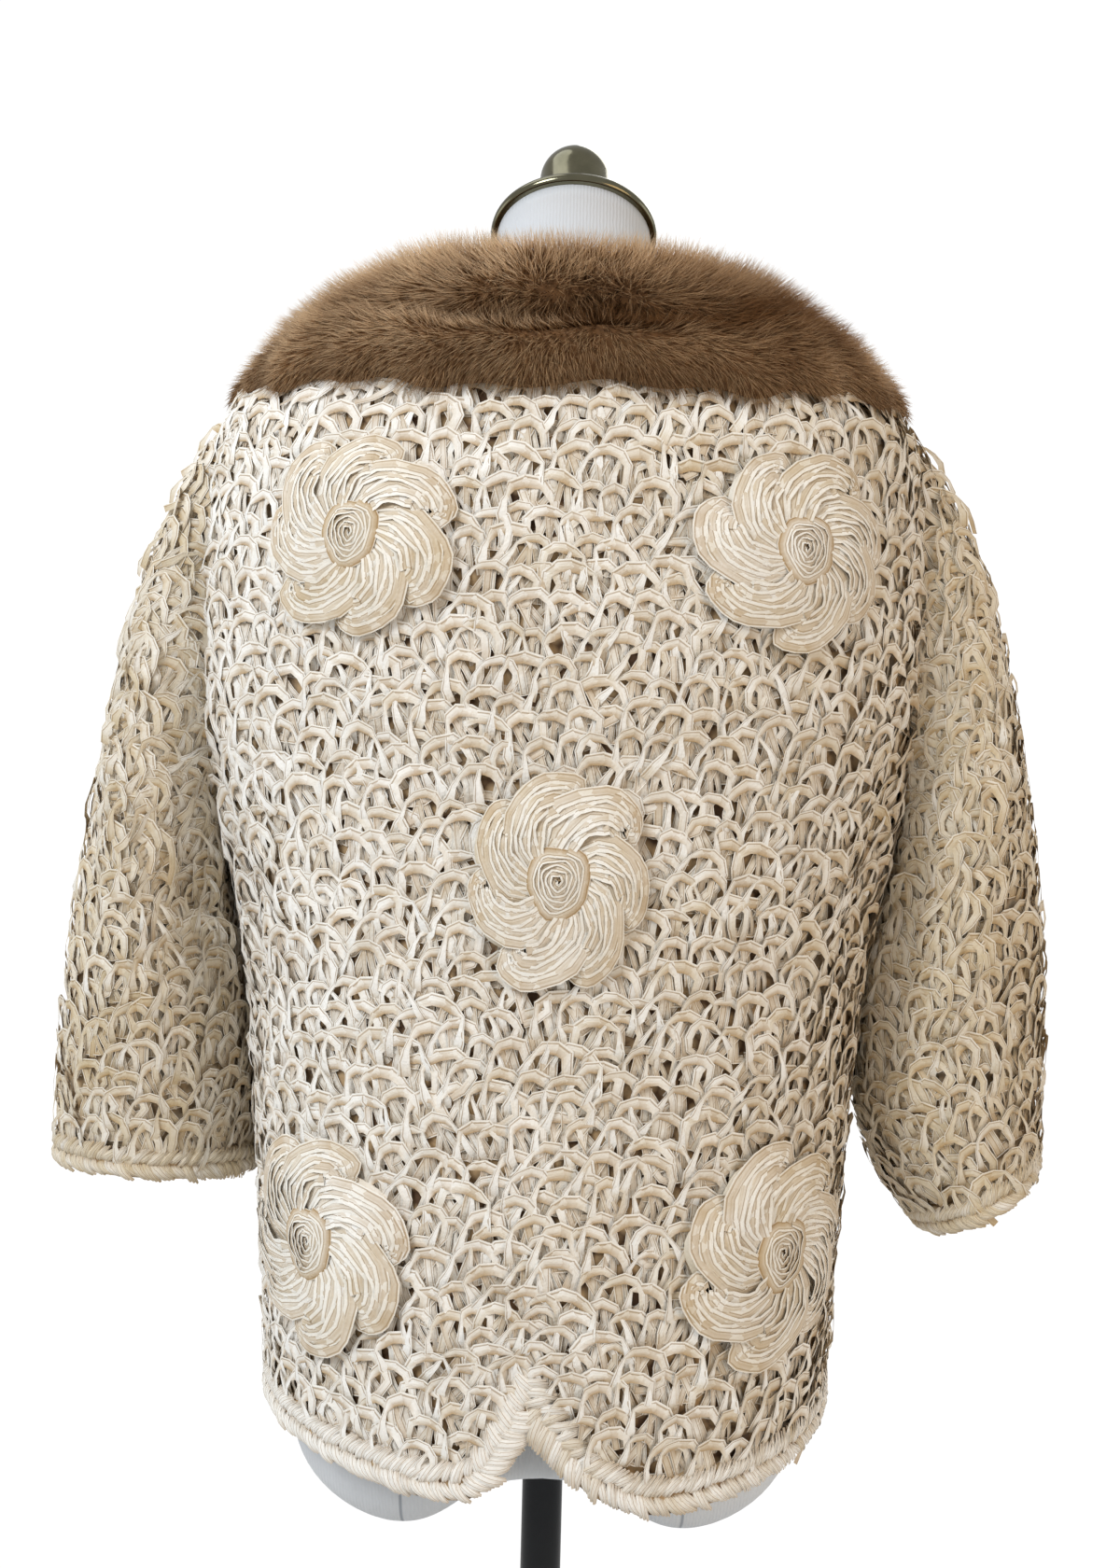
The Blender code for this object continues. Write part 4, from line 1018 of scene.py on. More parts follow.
for row in SLEEVES:
    name, side = row[:2]
    surface = sleeve_surface(row)
    turn = side * np.linspace(0, 2 * math.pi, SLEEVE_COLUMNS + 1)[None, :-1]
    along = np.linspace(0.0005, 0.9995, SLEEVE_ROWS)[:, None]
    out, _ = sleeve_axes(surface, side, turn, along)
    points = surface(turn, along)
    tube = thin_sheet("jacket_sleeve_" + name, points + out * GROUND_OUT, points + out * GROUND_IN,
                      ground, True, SLEEVE_GROUND)
    quarters = np.array((0.0, QUARTER, math.pi, 3 * QUARTER))[None, :]
    spine = surface(quarters, np.linspace(0, 1, 60)[:, None]).mean(axis=1)
    row_count = round(run_along(spine)[-1] / ROW_PITCH / SLEEVE_STITCH)
    rows = [(0, 2 * math.pi, share) for share in np.linspace(*STITCHED_SHARES, row_count)]
    u, v = brick_rows(surface, rows, STITCH_PITCH * SLEEVE_STITCH)
    out, up = sleeve_axes(surface, side, u, v)
    rings = crochet("crochet_sleeve_" + name, surface, u, v, out, up, SLEEVE_SHADED_TINTS[name], 10 + side,
                    SLEEVE_STITCH)
    rings = dress(rings)
    hang_sheet(tube, "sleeve_" + name)


# The edgings: the hem, cuffs and front edges are bound with a thick plait, two rows of
# folded ribbon loops that slant towards each other over a rolled core, sewn to the cloth's edge.
CUFF_BAND = 0.016
PLAIT_PITCH = 0.0052
HEM_TINT = 0.68
PLAIT_TINT_SPREAD = 0.16
PLAIT_SPREADS = (0.16, 0.24, 0.20)
# The core across the band: the share from its outer edge, and the heights of its two faces.
PLAIT_CORE = (
    (0.00, -0.0030, -0.0044), (0.14, -0.0012, -0.0062), (0.32, 0.0000, -0.0066),
    (0.50, -0.0010, -0.0060), (0.68, 0.0000, -0.0066), (0.86, -0.0012, -0.0062),
    (1.00, -0.0030, -0.0044))
PLAIT_ROWS = (0.27, 0.73)
PLAIT_HEIGHTS = (0.6, 1.5)
EDGE_POINTS = 90
FRONT_EDGE_POINTS = 120
FRONT_EDGE_LOW = 0.003
NOTCH_HALF = 0.001
# A loop of the plait: points along it, half its width and height, its bend and crown, how far
# its ends fall, the step from ribbon to ribbon, and how the ribbons lap and stray.
LOOP_POINTS = 6
LOOP_HALF_WIDTH = 0.0036
LOOP_HALF_HEIGHT = 0.0052
LOOP_BEND = 0.0012
LOOP_CROWN = 0.0012
LOOP_FALL = 0.0026
LOOP_STEP = 0.0017
LOOP_LAP = 0.0004
LOOP_STRAY = 0.0002
LOOP_RIBBON = 0.0026
LOOP_RIBBON_CROWN = 0.0005


def plait_loop(kind):
    """One folded loop of the plait: a curved bundle of three ribbons, slanted up or down."""
    rng = np.random.default_rng(70 + kind)
    slant = 1 if kind % 2 else -1
    t = np.linspace(-1, 1, LOOP_POINTS)
    strips = []
    for k in range(3):
        shift = (k - 1) * LOOP_STEP
        across = t * LOOP_HALF_WIDTH + shift * 1.1 + LOOP_BEND * t * t
        stray = rng.uniform(-LOOP_STRAY, LOOP_STRAY, LOOP_POINTS)
        height = LOOP_CROWN - LOOP_FALL * t * t - LOOP_LAP * abs(k - 1) + stray
        path = np.stack((across, slant * t * LOOP_HALF_HEIGHT, height), axis=-1)
        tip = np.tile((0.55 * (k - 1) + 0.15, 0.0, 0.85), (LOOP_POINTS, 1))
        width = LOOP_RIBBON * (1 - 0.35 * t * t)
        # Painted shade, deeper towards the loop's ends where they tuck under.
        shade = np.repeat(0.95 - 0.45 * t * t, 3)
        strips.append((ribbon(path, tip, width, LOOP_RIBBON_CROWN), shade))
    return ribbon_shape(f"loop_{kind}", strips, rng)


loops = shape_box("plait_loops", [plait_loop(kind) for kind in range(4)])


def along_line(places, run, line):
    return np.stack([np.interp(places, run, line[:, i]) for i in range(3)], axis=-1)


def edging(name, outer_edge, inner_edge, out, closed, pale, seed):
    """A plait along a band between two edges; both run from left to right seen from outside."""
    span = inner_edge - outer_edge
    core_out = np.array([outer_edge + span * share + out * high for share, high, _ in PLAIT_CORE])
    core_in = np.array([outer_edge + span * share + out * low for share, _, low in PLAIT_CORE])
    # The core is of the ground ribbon, its outer face in painted shade.
    dress(thin_sheet("core_" + name, core_out, core_in, ground, closed), name)
    if closed:
        outer_edge, span, out = (np.concatenate((part, part[:1])) for part in (outer_edge, span, out))
    band = np.linalg.norm(span, axis=1)
    points, outs, ups, sizes, kinds = [], [], [], [], []
    for number, share in enumerate(PLAIT_ROWS):
        line = outer_edge + span * share
        run = run_along(line)
        count = round(run[-1] / PLAIT_PITCH)
        places = (np.arange(count) + 0.5) / count * run[-1]
        ahead = along_line(places + 0.002, run, line)
        behind = along_line(places - 0.002, run, line)
        face = unit(along_line(places, run, out))
        points.append(along_line(places, run, line))
        outs.append(face)
        ups.append(unit(np.cross(face, ahead - behind)))
        sizes.append(np.interp(places, run, band) / HEM_BAND)
        kinds.append(number + 2 * (np.arange(count) % 2))
    points, outs, ups = (np.concatenate(part) for part in (points, outs, ups))
    rng = np.random.default_rng(seed)
    tint = np.clip(rng.normal(pale, PLAIT_TINT_SPREAD, len(points)), 0, 1)
    tall = np.clip(np.concatenate(sizes), *PLAIT_HEIGHTS)
    size = np.stack((np.full_like(tall, 1.0), tall, np.full_like(tall, 1.0)))
    kinds = np.concatenate(kinds)
    plait = sew("plait_" + name, loops, straw, points, outs, ups, size, kinds, tint, seed, PLAIT_SPREADS)
    dress(plait)


for name, low, high, seed in (
        ("hem_edging_back_left", -QUARTER, NOTCH_TURN - NOTCH_HALF, 21),
        ("hem_edging_back_right", NOTCH_TURN + NOTCH_HALF, QUARTER, 22),
        ("hem_edging_front_left", -math.pi + FRONT_GAP, -QUARTER, 23),
        ("hem_edging_front_right", QUARTER, math.pi - FRONT_GAP, 24)):
    angles = np.linspace(low, high, EDGE_POINTS)
    top = cloth(angles, np.full_like(angles, HEM_LEVEL))
    drop = np.stack((np.zeros(EDGE_POINTS), np.zeros(EDGE_POINTS), band_height(angles)), axis=-1)
    out = normals(torso, angles, np.full_like(angles, HEM_LEVEL))
    # The hem's tint carries the same painted light from left to right.
    pale = HEM_TINT - PAINTED_LIGHT_SLOPE * math.sin((low + high) / 2)
    edging(name, top - drop, top, out, False, pale, seed)

for row in SLEEVES:
    name, side = row[:2]
    surface = sleeve_surface(row)
    turn = -side * np.linspace(0, 2 * math.pi, SLEEVE_COLUMNS + 1)[:-1]
    end = surface(turn, np.ones_like(turn))
    out, up = sleeve_axes(surface, side, turn, np.ones_like(turn))
    edging("cuff_edging_" + name, end - up * CUFF_BAND, end, out, True, SLEEVE_SHADED_TINTS[name], 25 + side)

for name, side, seed in (("left", -1, 28), ("right", 1, 29)):
    levels = np.linspace(HEM_LEVEL + FRONT_EDGE_LOW, NECK_LEVEL, FRONT_EDGE_POINTS)
    inner = cloth(np.full_like(levels, side * (math.pi - FRONT_GAP)), levels)
    outer = cloth(np.full_like(levels, side * (math.pi - FRONT_BAND)), levels)
    out = normals(cloth, np.full_like(levels, side * (math.pi - FRONT_BAND / 2)), levels)
    first, last = (inner, outer) if side > 0 else (outer, inner)
    edging("front_edging_" + name, last, first, out, False, BODY_TINT, seed)


# The flowers: five swirls of the same ribbon sewn on the back. Each has seven petals of
# nested ribbon hooks standing half on edge, round a coiled ribbon disc.
PETALS = 7
PETAL_RIBBONS = 6
PETAL_RIBBON_WIDTH = 0.0064
# Painted shade across a petal ribbon: painted highlights at both edges, painted shade in the middle.
PETAL_SHADES = (1.25, 0.66, 1.10)
# Painted shade across the coil's ribbon: a painted highlight at its inner edge, painted shade at its
# outer edge.
COIL_SHADES = (1.30, 0.55, 0.15)
PETAL_LENGTH = 0.0380
PETAL_HALF = 0.0245
PETAL_SWIRL = 0.80
COIL_RADIUS = 0.0145
PETAL_KINDS = 3
FLOWER_TINTS = {
    "upper_left": 0.34, "upper_right": 0.34, "middle": 0.30, "lower_left": 0.42, "lower_right": 0.22}
FLOWER_TINT_SPREAD = 0.08
FLOWER_RADIUS = 0.0515
FLOWER_SEAT = 0.0008
# A hook of a petal: points along it, its height at the coil, its arch, its slope from edge to
# edge, the step up to the next hook, its waves and roughness, and its lean in degrees.
HOOK_POINTS = 17
HOOK_HEIGHT = 0.0022
HOOK_ARCH = 0.0026
HOOK_SLOPE = 0.0019
HOOK_STEP = 0.0003
HOOK_WAVE = 0.0011
HOOK_ROUGH = 0.0003
HOOK_LEAN = 13
HOOK_LEAN_SPREAD = 9
# The coil: points along it, its turns, its ribbon's width, its height at the rim and the dip in
# the middle, and its lean in degrees.
COIL_POINTS = 140
COIL_TURNS = 6.2
COIL_RIBBON = 0.0052
COIL_HEIGHT = 0.0068
COIL_DIP = 0.0018
COIL_LEAN = 18
COIL_LEAN_SPREAD = 8
# The layer under the petals: rings as shares of its radius, with their heights.
GROUND_RINGS = ((0.01, 0.0030), (0.30, 0.0030), (0.60, 0.0026), (0.85, 0.0020), (1.0, 0.0012))
GROUND_COLUMNS = 70


def petal(kind):
    """A petal of nested ribbon hooks, each lying a little over the one outside it."""
    rng = np.random.default_rng(90 + kind)
    strips = []
    for k in range(PETAL_RIBBONS):
        share = k / PETAL_RIBBONS
        turn = np.linspace(-1, 1, HOOK_POINTS) * QUARTER
        reach = PETAL_LENGTH * (1 - 0.52 * share) * rng.uniform(0.95, 1.04)
        half = PETAL_HALF * (1 - 0.90 * share)
        x = COIL_RADIUS * 0.9 + reach * np.cos(turn) ** 0.8
        open_out = 0.46 + 0.54 * np.cos(turn) ** 0.6
        y = (half * np.sin(turn) - (PETAL_HALF - half) * 0.55) * open_out
        y += HOOK_WAVE * np.sin(turn * 7 + rng.uniform(0, 6)) + rng.normal(0, HOOK_ROUGH, HOOK_POINTS)
        far = np.hypot(x, y)
        twist = np.arctan2(y, x) - PETAL_SWIRL * (far - COIL_RADIUS) / PETAL_LENGTH
        arch = np.sin(math.pi * np.clip((far - COIL_RADIUS) / PETAL_LENGTH, 0, 1) * 0.8)
        height = (HOOK_HEIGHT + HOOK_ARCH * arch + HOOK_SLOPE * np.sin(turn) + HOOK_STEP * k
                  + rng.normal(0, HOOK_ROUGH, HOOK_POINTS))
        path = np.stack((far * np.cos(twist), far * np.sin(twist), height), axis=-1)
        along = unit(np.gradient(path, axis=0))
        aside = np.stack((along[:, 1], -along[:, 0], np.zeros(HOOK_POINTS)), axis=-1)
        spread = rng.uniform(-HOOK_LEAN_SPREAD, HOOK_LEAN_SPREAD, HOOK_POINTS)
        lean = np.radians(HOOK_LEAN + spread)[:, None]
        face = np.sin(lean) * aside + np.cos(lean) * np.array((0, 0, 1))
        shade = rng.uniform(0.70, 1.0) + rng.normal(0, 0.08, HOOK_POINTS) - 0.15 * np.cos(turn) ** 4
        shade = np.clip(shade, 0.3, 1.0)[:, None] * PETAL_SHADES
        strips.append((ribbon(path, face, PETAL_RIBBON_WIDTH, RIBBON_CROWN, inner=-0.75), shade.ravel()))
    return ribbon_shape(f"a_petal_{kind}", strips, rng)


def coil():
    """A ribbon wound in a tight oval spiral, in painted shade at its sunken middle, its last turn a
    little darker.
    """
    rng = np.random.default_rng(96)
    turn = np.linspace(0, 2 * math.pi * COIL_TURNS, COIL_POINTS)
    share = turn / turn[-1]
    radius = 0.0012 + (COIL_RADIUS - 0.0004) * share ** 0.9
    wave = 1 + 0.05 * np.sin(3 * turn) + 0.04 * np.sin(5.3 * turn)
    height = COIL_HEIGHT - COIL_DIP * (1 - share) ** 2 + rng.normal(0, 0.0002, COIL_POINTS)
    radius = radius * wave
    path = np.stack((radius * np.cos(turn) * 0.92, radius * np.sin(turn) * 1.12, height), axis=-1)
    lean = np.radians(COIL_LEAN + rng.uniform(-COIL_LEAN_SPREAD, COIL_LEAN_SPREAD, COIL_POINTS))
    face = np.stack((np.cos(turn) * np.sin(lean), np.sin(turn) * np.sin(lean), np.cos(lean)), axis=-1)
    shade = np.interp(share, (0, 0.06, 0.15, 0.82, 0.88, 1), (0.2, 0.6, 0.85, 0.85, 0.8, 0.8))
    shade = shade[:, None] * COIL_SHADES
    strip = ribbon(path, face, COIL_RIBBON, RIBBON_CROWN, inner=-0.6)
    return ribbon_shape("b_coil", [(strip, shade.ravel())], rng)


def flower_ground():
    """The ribbon layer under the petals, a low lobed disc."""
    rng = np.random.default_rng(92)
    turns = np.linspace(0, 2 * math.pi, GROUND_COLUMNS + 1)[:-1]
    lobe = 0.90 - 0.06 * np.cos(PETALS * turns)
    shares, heights = np.array(GROUND_RINGS).T
    rings = shares[:, None] * lobe * FLOWER_RADIUS
    flat = np.stack((rings * np.cos(turns), rings * np.sin(turns)), axis=-1)
    swell = heights[:, None] * np.ones(GROUND_COLUMNS)
    seat = np.full_like(swell, FLOWER_SEAT * 0.25)
    top = np.concatenate((flat, swell[..., None]), axis=-1)[:, ::-1]
    under = np.concatenate((flat, seat[..., None]), axis=-1)[:, ::-1]
    mesh = thin_sheet("c_ground", top, under, None, True)
    count = len(mesh.vertices)
    layer = mesh.attributes.new("grain", "FLOAT_VECTOR", "POINT")
    layer.data.foreach_set("vector", np.tile((0.0, rng.uniform(0, 1), 0.80), count).astype(np.float32))
    return mesh


flower_shapes = shape_box("flower_shapes", [*map(petal, range(PETAL_KINDS)), coil(), flower_ground()])

for number, (name, angle, level, radius, turn) in enumerate(FLOWERS):
    count = PETALS + 2
    rng = np.random.default_rng(100 + number)
    turns = turn + 2 * math.pi * np.arange(PETALS) / PETALS + rng.normal(0, 0.04, PETALS)
    ups = np.concatenate((np.stack((-np.sin(turns), np.cos(turns), np.zeros(PETALS)), axis=-1),
                          ((0, 1, 0), (-math.sin(turn), math.cos(turn), 0))))
    sizes = np.concatenate((1 + rng.uniform(-0.06, 0.05, PETALS), (1.0, 1.0))) * radius / FLOWER_RADIUS
    size = np.stack((sizes, sizes, np.ones(count)))
    kinds = np.concatenate((np.arange(PETALS) % PETAL_KINDS, (PETAL_KINDS, PETAL_KINDS + 1)))
    tint = np.clip(rng.normal(FLOWER_TINTS[name], FLOWER_TINT_SPREAD, count), 0, 1)
    flat = sew("swirl_" + name, flower_shapes, straw, np.zeros((count, 3)),
               np.tile((0.0, 0.0, 1.0), (count, 1)), ups, size, kinds, tint, 50 + number)
    laid = np.array([vertex.co for vertex in flat.vertices])
    middle = cloth(angle, level)
    per_angle = np.linalg.norm(cloth(angle + 0.05, level) - middle) / 0.05
    per_level = np.linalg.norm(cloth(angle, level + 0.01) - middle) / 0.01
    on_angle = angle + laid[:, 0] / per_angle
    on_level = level + laid[:, 1] / per_level
    lift = (FLOWER_SEAT + laid[:, 2])[:, None]
    placed = cloth(on_angle, on_level) + normals(cloth, on_angle, on_level) * lift
    flat.vertices.foreach_set("co", placed.ravel())
    dress(flat, "flower_" + name)


# The collar: a wide band of dense brown fur on its own skin, sewn round the neckline.
# The hair lies outwards and down from the centre back, and stands up along the neck, and a
# crease below the middle of the back parts the pelt into two soft rolls.
# The pelt's thickness from the neck to the lower edge.
PELT = (
    (0.00, 0.026), (0.18, 0.037), (0.40, 0.040), (0.62, 0.035),
    (0.82, 0.024), (0.93, 0.015), (1.00, 0.006))
PELT_THINNING_LEFT = 0.14
PELT_THINNING_RIGHT = 0.22
PELT_THINNING_TURN = 0.45
CREASE_TURN = -0.16
CREASE_HALF = 0.42
CREASE_STEP = 0.62
CREASE_WIDTH = 0.075
CREASE_DEPTH = 0.62
COLLAR_TOP = NECK_LEVEL - 0.002
COLLAR_STAND = 0.002
COLLAR_STAND_FALL = 2.5
COLLAR_WAVE = 0.004
COLLAR_SEAT = 0.0006
COLLAR_EDGE_SEAT = 0.0012
COLLAR_END = math.radians(171)
COLLAR_ROUND_END = 0.22
COLLAR_END_SHARE = 0.06
SKIN_SHARE = 0.72
HAIRS = 64000
HAIR_KINDS = 4
HANGING_HAIR = 0.006
HANGING_FROM = 0.88
HAIR_OUT = 0.70
HAIR_PARTING = 0.50
HAIR_DRIFT = 0.14
HAIR_RUFFLE = 0.20
HAIR_LENGTHS = (0.005, 0.0155)
HAIR_EXTRA = 0.0015
HAIR_WIDTHS = (0.012, 0.0185)
HAIR_TINT_SPREAD = 0.16
CREASE_SHORTENING = 0.55
SKIN_COLUMNS = 151
SKIN_ROWS = 22
CELL_COLUMNS = 200
CELL_ROWS = 30
SIDE_TURN = QUARTER * 0.8
# From the neck to the lower edge: how far the hair is combed down, and how pale it is painted,
# with painted light along the tops of the two rolls and painted shade above the crease.
HAIR_FALL = ((0, -0.55), (0.12, -0.35), (0.30, 0.05), (0.60, 0.25), (0.72, 0.10), (1, 0.80))
ROLL_PAINTED_LIGHT = (
    (0, 0.70), (0.2, 0.68), (0.40, 0.55), (0.60, 0.34), (0.72, 0.58), (0.86, 0.54), (1, 0.42))
pelt_thickness = smooth_curve(PELT, 1)


def crease_share(angle, step):
    across = (angle - CREASE_TURN) / CREASE_HALF
    return np.exp(-across ** 2 - ((step - CREASE_STEP) / CREASE_WIDTH) ** 2)


def collar_surface(angle, step, share):
    """A point of the collar from its seat (share 0) to the tips of its hair (share 1)."""
    angle, step = np.broadcast_arrays(np.asarray(angle, float), np.asarray(step, float))
    wave = COLLAR_WAVE * (np.sin(angle * 9 + 0.6) + np.sin(angle * 23)) / 2
    level = COLLAR_TOP + (collar_edge(angle) + wave - COLLAR_TOP) * step
    base = cloth(angle, level)
    out = normals(cloth, angle, level)
    to_end = (COLLAR_END - np.abs(angle)) / COLLAR_ROUND_END + COLLAR_END_SHARE
    round_end = np.minimum(1.0, np.sqrt(np.maximum(0.0, to_end)))
    thinning = np.where(angle < 0, PELT_THINNING_LEFT, PELT_THINNING_RIGHT)
    thinned = 1 - thinning * (1 - np.exp(-(angle / PELT_THINNING_TURN) ** 2))
    thick = pelt_thickness(step) * round_end * thinned * (1 - CREASE_DEPTH * crease_share(angle, step))
    stand = COLLAR_STAND * round_end * np.maximum(0.0, 1 - step * COLLAR_STAND_FALL)
    seat = base + out * (COLLAR_SEAT + COLLAR_EDGE_SEAT * step)[..., None]
    tips = base + out * thick[..., None] + stand[..., None] * np.array((0, 0, 1))
    return seat + (tips - seat) * share


def hair(kind):
    """One tapered hair, leaning over a little, its point at height 1; along is 0 at the root."""
    bend = 0.05 + 0.06 * kind
    turns = np.array((0, 2 * math.pi / 3, 4 * math.pi / 3))
    circle = np.stack((np.cos(turns), np.sin(turns), np.zeros(3)), axis=-1)
    points = np.concatenate((circle * 0.012, [(0, bend, 1.0)]))
    faces = [[2, 1, 0], [0, 1, 3], [1, 2, 3], [2, 0, 3]]
    return make_mesh(f"hair_{kind}", points, faces, along=np.array((0, 0, 0, 1.0)))


# Fur: glossy guard hairs over a dense undercoat, dark chestnut at the roots and paler red-brown to beige
# at the tips, with painted light along the tops of the rolls and on the left, and painted shade
# on the right and in the crease.
fur, tree, shader = new_material("chestnut_fur", Roughness=0.5, Specular_IOR_Level=0.25)
along = add_node(tree, "ShaderNodeAttribute", attribute_name="along")
tint = add_node(tree, "ShaderNodeAttribute", attribute_name="tint")
dark = add_node(tree, "ShaderNodeMix", {
    0: along.outputs["Fac"], 6: linear("#3f2710"), 7: linear("#895f35")}, data_type="RGBA")
light = add_node(tree, "ShaderNodeMix", {
    0: along.outputs["Fac"], 6: linear("#b58450"), 7: linear("#ffdfb4")}, data_type="RGBA")
tone = add_node(tree, "ShaderNodeMix", {0: tint.outputs["Fac"], 6: dark, 7: light}, data_type="RGBA")
set_inputs(tree, shader, {"Base Color": tone})

# Fur skin: the undercoat seen between the hairs, a matt dark brown felt of fine wool.
skin_coat, tree, shader = new_material("fur_undercoat", Roughness=0.9)
place = add_node(tree, "ShaderNodeTexCoord")
wool = add_node(tree, "ShaderNodeTexNoise", {
    "Vector": place.outputs["Object"], "Scale": 1 / 0.003, "Detail": 4.0})
tone = add_node(tree, "ShaderNodeMix", {
    0: wool.outputs["Fac"], 6: linear("#432a14"), 7: linear("#8a6239")}, data_type="RGBA")
relief = add_node(tree, "ShaderNodeBump", {
    "Strength": 0.6, "Distance": 0.001, "Height": wool.outputs["Fac"]})
set_inputs(tree, shader, {"Base Color": tone, "Normal": relief})

angles = np.linspace(-COLLAR_END, COLLAR_END, SKIN_COLUMNS)[None, :]
steps = np.linspace(1, 0, SKIN_ROWS)[:, None]
dress(thin_sheet("collar_skin", collar_surface(angles, steps, SKIN_SHARE),
                 collar_surface(angles, steps, 0.0), skin_coat), "fur_collar")

rng = np.random.default_rng(7)
cells_a = np.linspace(-COLLAR_END, COLLAR_END, CELL_COLUMNS + 1)
cells_s = np.linspace(0, 1, CELL_ROWS + 1)
corner = collar_surface(cells_a[None, :], cells_s[:, None], SKIN_SHARE)
down_side = corner[1:, :-1] - corner[:-1, :-1]
across_side = corner[:-1, 1:] - corner[:-1, :-1]
areas = np.linalg.norm(np.cross(down_side, across_side), axis=-1)
picked = rng.choice(areas.size, HAIRS, p=(areas / areas.sum()).ravel())
hair_angle = cells_a[picked % CELL_COLUMNS] + rng.uniform(0, 1, HAIRS) * (cells_a[1] - cells_a[0])
hair_step = cells_s[picked // CELL_COLUMNS] + rng.uniform(0, 1, HAIRS) * (cells_s[1] - cells_s[0])


def skin_at(angle, step):
    return collar_surface(angle, step, SKIN_SHARE)


roots = skin_at(hair_angle, hair_step)
sideways, downwards = tangents(skin_at, hair_angle, np.clip(hair_step, 0.02, 0.98), 0.02, 0.015)
outwards = unit(np.cross(downwards, sideways))
part_line = np.tanh(hair_angle / 0.5)[:, None]
fall = np.interp(hair_step, *zip(*HAIR_FALL))[:, None]
drift = (np.sin(hair_angle * 9 + hair_step * 7) + np.sin(hair_angle * 23 - hair_step * 11))[:, None]
comb = downwards * fall + sideways * (HAIR_PARTING * part_line + HAIR_DRIFT * drift)
lean = unit(outwards * HAIR_OUT + comb + rng.normal(0, HAIR_RUFFLE, (HAIRS, 3)))
creased = crease_share(hair_angle, hair_step)
reach = pelt_thickness(hair_step) * (1 - SKIN_SHARE)
length = np.clip(reach / HAIR_OUT, *HAIR_LENGTHS) * rng.uniform(0.70, 1.15, HAIRS) + HAIR_EXTRA
length *= 1 - CREASE_SHORTENING * creased
near_edge = np.clip((hair_step - HANGING_FROM) / 0.12, 0, 1) * np.exp(-(hair_angle / 1.1) ** 4)
length += HANGING_HAIR * near_edge * rng.uniform(0.2, 1.4, HAIRS)
cloudy = np.sin(hair_angle * 11 + hair_step * 9) * np.sin(hair_angle * 4 - hair_step * 13 + 1)
# Painted light and shade in the hair's tint: lit roll tops and left, shade on the right and in the
# crease, over random cloudy patches.
rolls = np.interp(hair_step, *zip(*ROLL_PAINTED_LIGHT))
painted_light_left = np.exp(-((hair_angle + 0.9) / 0.5) ** 2)
painted_shade_right = np.exp(-((hair_angle - 0.75) / 0.40) ** 2 - ((hair_step - 0.58) / 0.26) ** 2)
painted_crease_shade = np.exp(-((hair_angle - 0.06) / 0.24) ** 2 - ((hair_step - CREASE_STEP) / 0.08) ** 2)
tone_and_painted_light = rolls + 0.14 * cloudy + 0.10 * painted_light_left - 0.45 * painted_shade_right - 1.3 * painted_crease_shade
hair_tint = np.clip(tone_and_painted_light + rng.normal(0, HAIR_TINT_SPREAD, HAIRS), 0, 1)
hairs = shape_box("hairs", [hair(kind) for kind in range(HAIR_KINDS)])
for name, low, high in (
        ("back_left", -SIDE_TURN, 0), ("back_right", 0, SIDE_TURN),
        ("front_left", -math.pi, -SIDE_TURN), ("front_right", SIDE_TURN, math.pi)):
    part = (hair_angle >= low) & (hair_angle < high)
    count = int(part.sum())
    width = rng.uniform(*HAIR_WIDTHS, count)
    size = np.stack((width, width, length[part]))
    kinds = rng.integers(0, HAIR_KINDS, count)
    strands = sew("collar_fur_" + name, hairs, fur, roots[part], lean[part], comb[part] + 1e-4,
                  size, kinds, hair_tint[part], 60)
    dress(strands)

for box in (stitches, loops, flower_shapes, hairs):
    for shape in list(box.objects):
        bpy.data.objects.remove(shape, do_unlink=True)
    bpy.data.collections.remove(box)


# The studio: a round white floor, a large soft light high on the left, a weak warm one on the
# right, weaker ones above, behind and at both sides, and the camera level with the garment's middle.
FLOOR_RADIUS = 0.5
CAMERA_PLACE = (0.0, -1.2, 0.62)
CAMERA_LENS = 50.14
CAMERA_ROLL = math.radians(1.45)
paper, tree, shader = new_material("white_floor_paper", Roughness=0.95)
place = add_node(tree, "ShaderNodeTexCoord")
tooth = add_node(tree, "ShaderNodeTexNoise", {
    "Vector": place.outputs["Object"], "Scale": 1 / 0.004, "Detail": 3.0})
tone = add_node(tree, "ShaderNodeMix", {
    0: tooth.outputs["Fac"], 6: linear("#f2f2f1"), 7: linear("#f8f8f7")}, data_type="RGBA")
set_inputs(tree, shader, {"Base Color": tone})
turns = np.linspace(0, 2 * math.pi, 97)[:-1]
rim = FLOOR_RADIUS * np.stack((np.cos(turns), np.sin(turns), np.zeros_like(turns)), axis=-1)
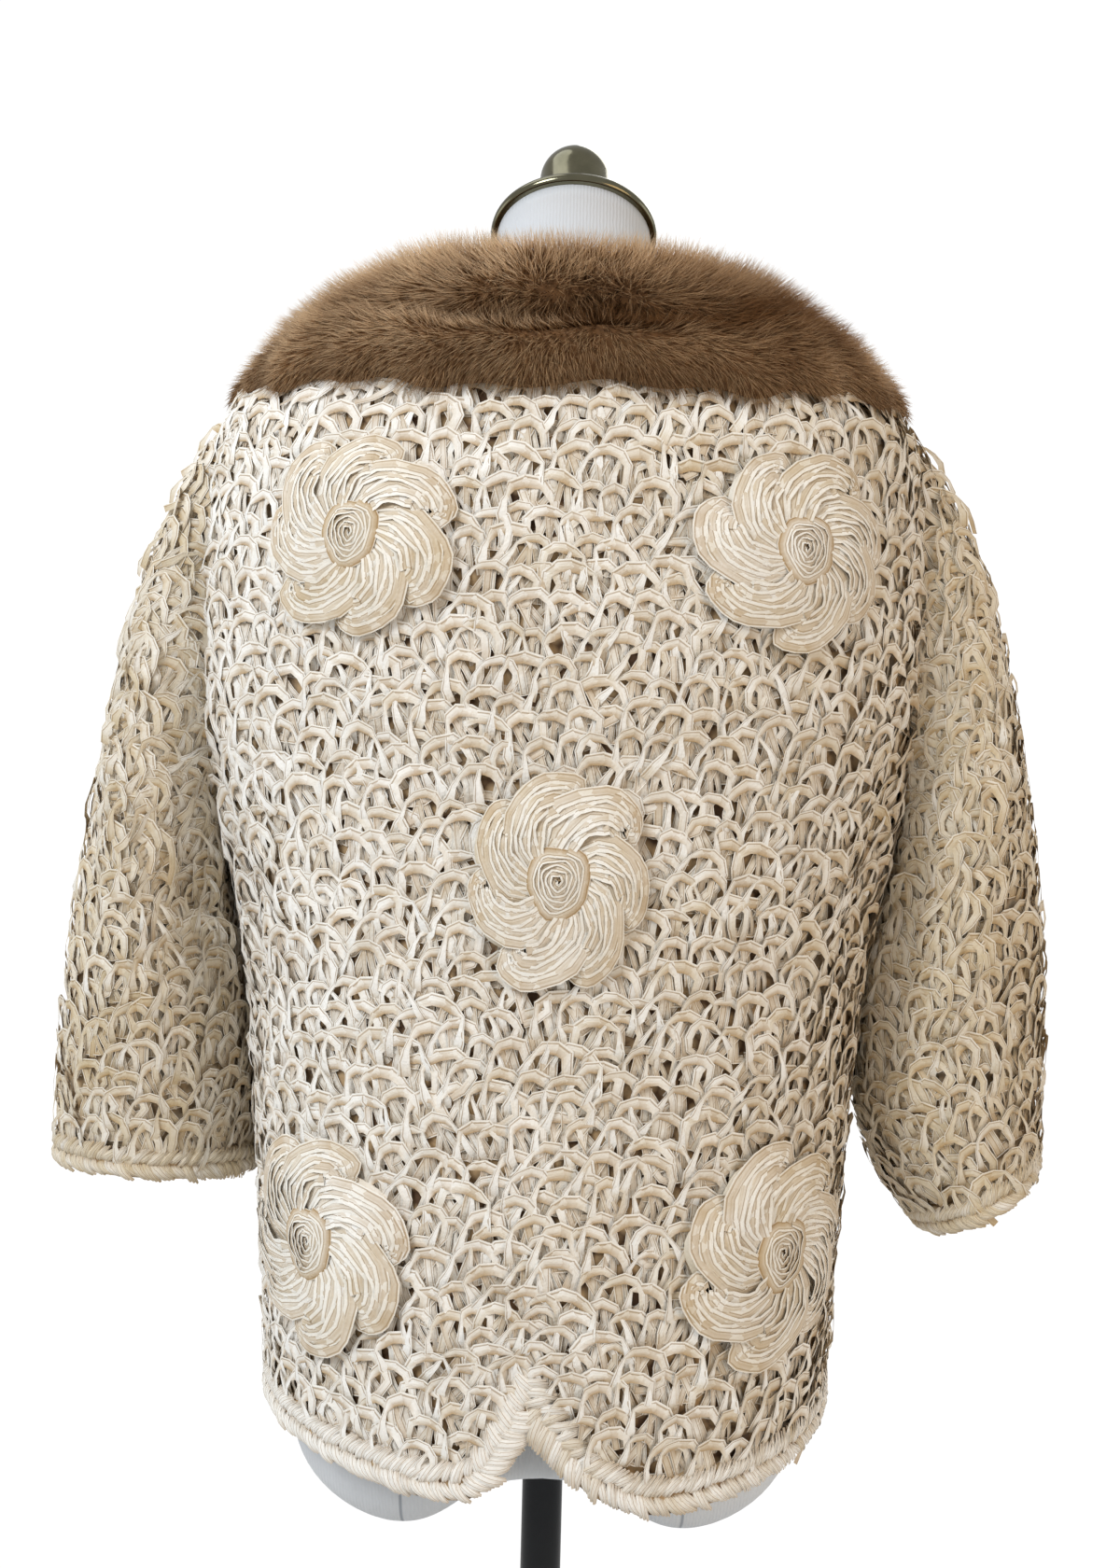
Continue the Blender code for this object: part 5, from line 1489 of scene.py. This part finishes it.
floor = add_piece(make_mesh("studio_floor", rim, [list(range(len(turns)))], paper))
floor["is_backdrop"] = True

world = bpy.data.worlds.new("studio")
bpy.context.scene.world = world
world.use_nodes = True
tree = world.node_tree
sky = tree.nodes["Background"]
seen = add_node(tree, "ShaderNodeLightPath")
strength = add_node(tree, "ShaderNodeMapRange", {
    "Value": seen.outputs["Is Camera Ray"], "To Min": 0.52, "To Max": 1.05})
set_inputs(tree, sky, {"Color": (1.0, 1.0, 1.0, 1.0), "Strength": strength})


def soft_light(name, place, target, size, power, colour):
    light = bpy.data.lights.new(name, "AREA")
    light.shape = "DISK"
    light.size = size
    light.energy = power
    light.color = linear(colour)[:3]
    lamp = bpy.data.objects.new(name, light)
    bpy.context.scene.collection.objects.link(lamp)
    lamp.location = place
    aim = np.array(target) - np.array(place)
    turn = math.atan2(aim[1], aim[0]) - QUARTER
    lamp.rotation_euler = (math.acos(-aim[2] / np.linalg.norm(aim)), 0, turn)


soft_light("key_light", (-1.3, -1.5, 1.9), (0, 0, 0.6), 1.0, 32, "#f3f8ff")
soft_light("fill_light", (1.6, -1.4, 0.8), (0, 0, 0.55), 1.2, 8.5, "#ffd8a6")
soft_light("top_light", (-0.9, 0.25, 2.7), (0, 0, 0.9), 1.4, 8, "#f4f8ff")
soft_light("far_light", (0.6, 1.6, 1.8), (0, 0, 0.6), 1.2, 10, "#ffffff")
soft_light("left_light", (-2.0, 0.3, 0.7), (0, 0, 0.6), 1.2, 3, "#ffffff")
soft_light("right_light", (2.0, 0.3, 0.7), (0, 0, 0.6), 1.2, 3, "#ffffff")

lens = bpy.data.cameras.new("camera")
lens.sensor_fit = "VERTICAL"
lens.sensor_height = 36
lens.lens = CAMERA_LENS
camera = bpy.data.objects.new("camera", lens)
bpy.context.scene.collection.objects.link(camera)
camera.location = CAMERA_PLACE
camera.rotation_euler = (QUARTER, -CAMERA_ROLL, 0)
bpy.context.scene.camera = camera
bpy.context.scene.view_settings.view_transform = "Standard"

low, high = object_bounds()
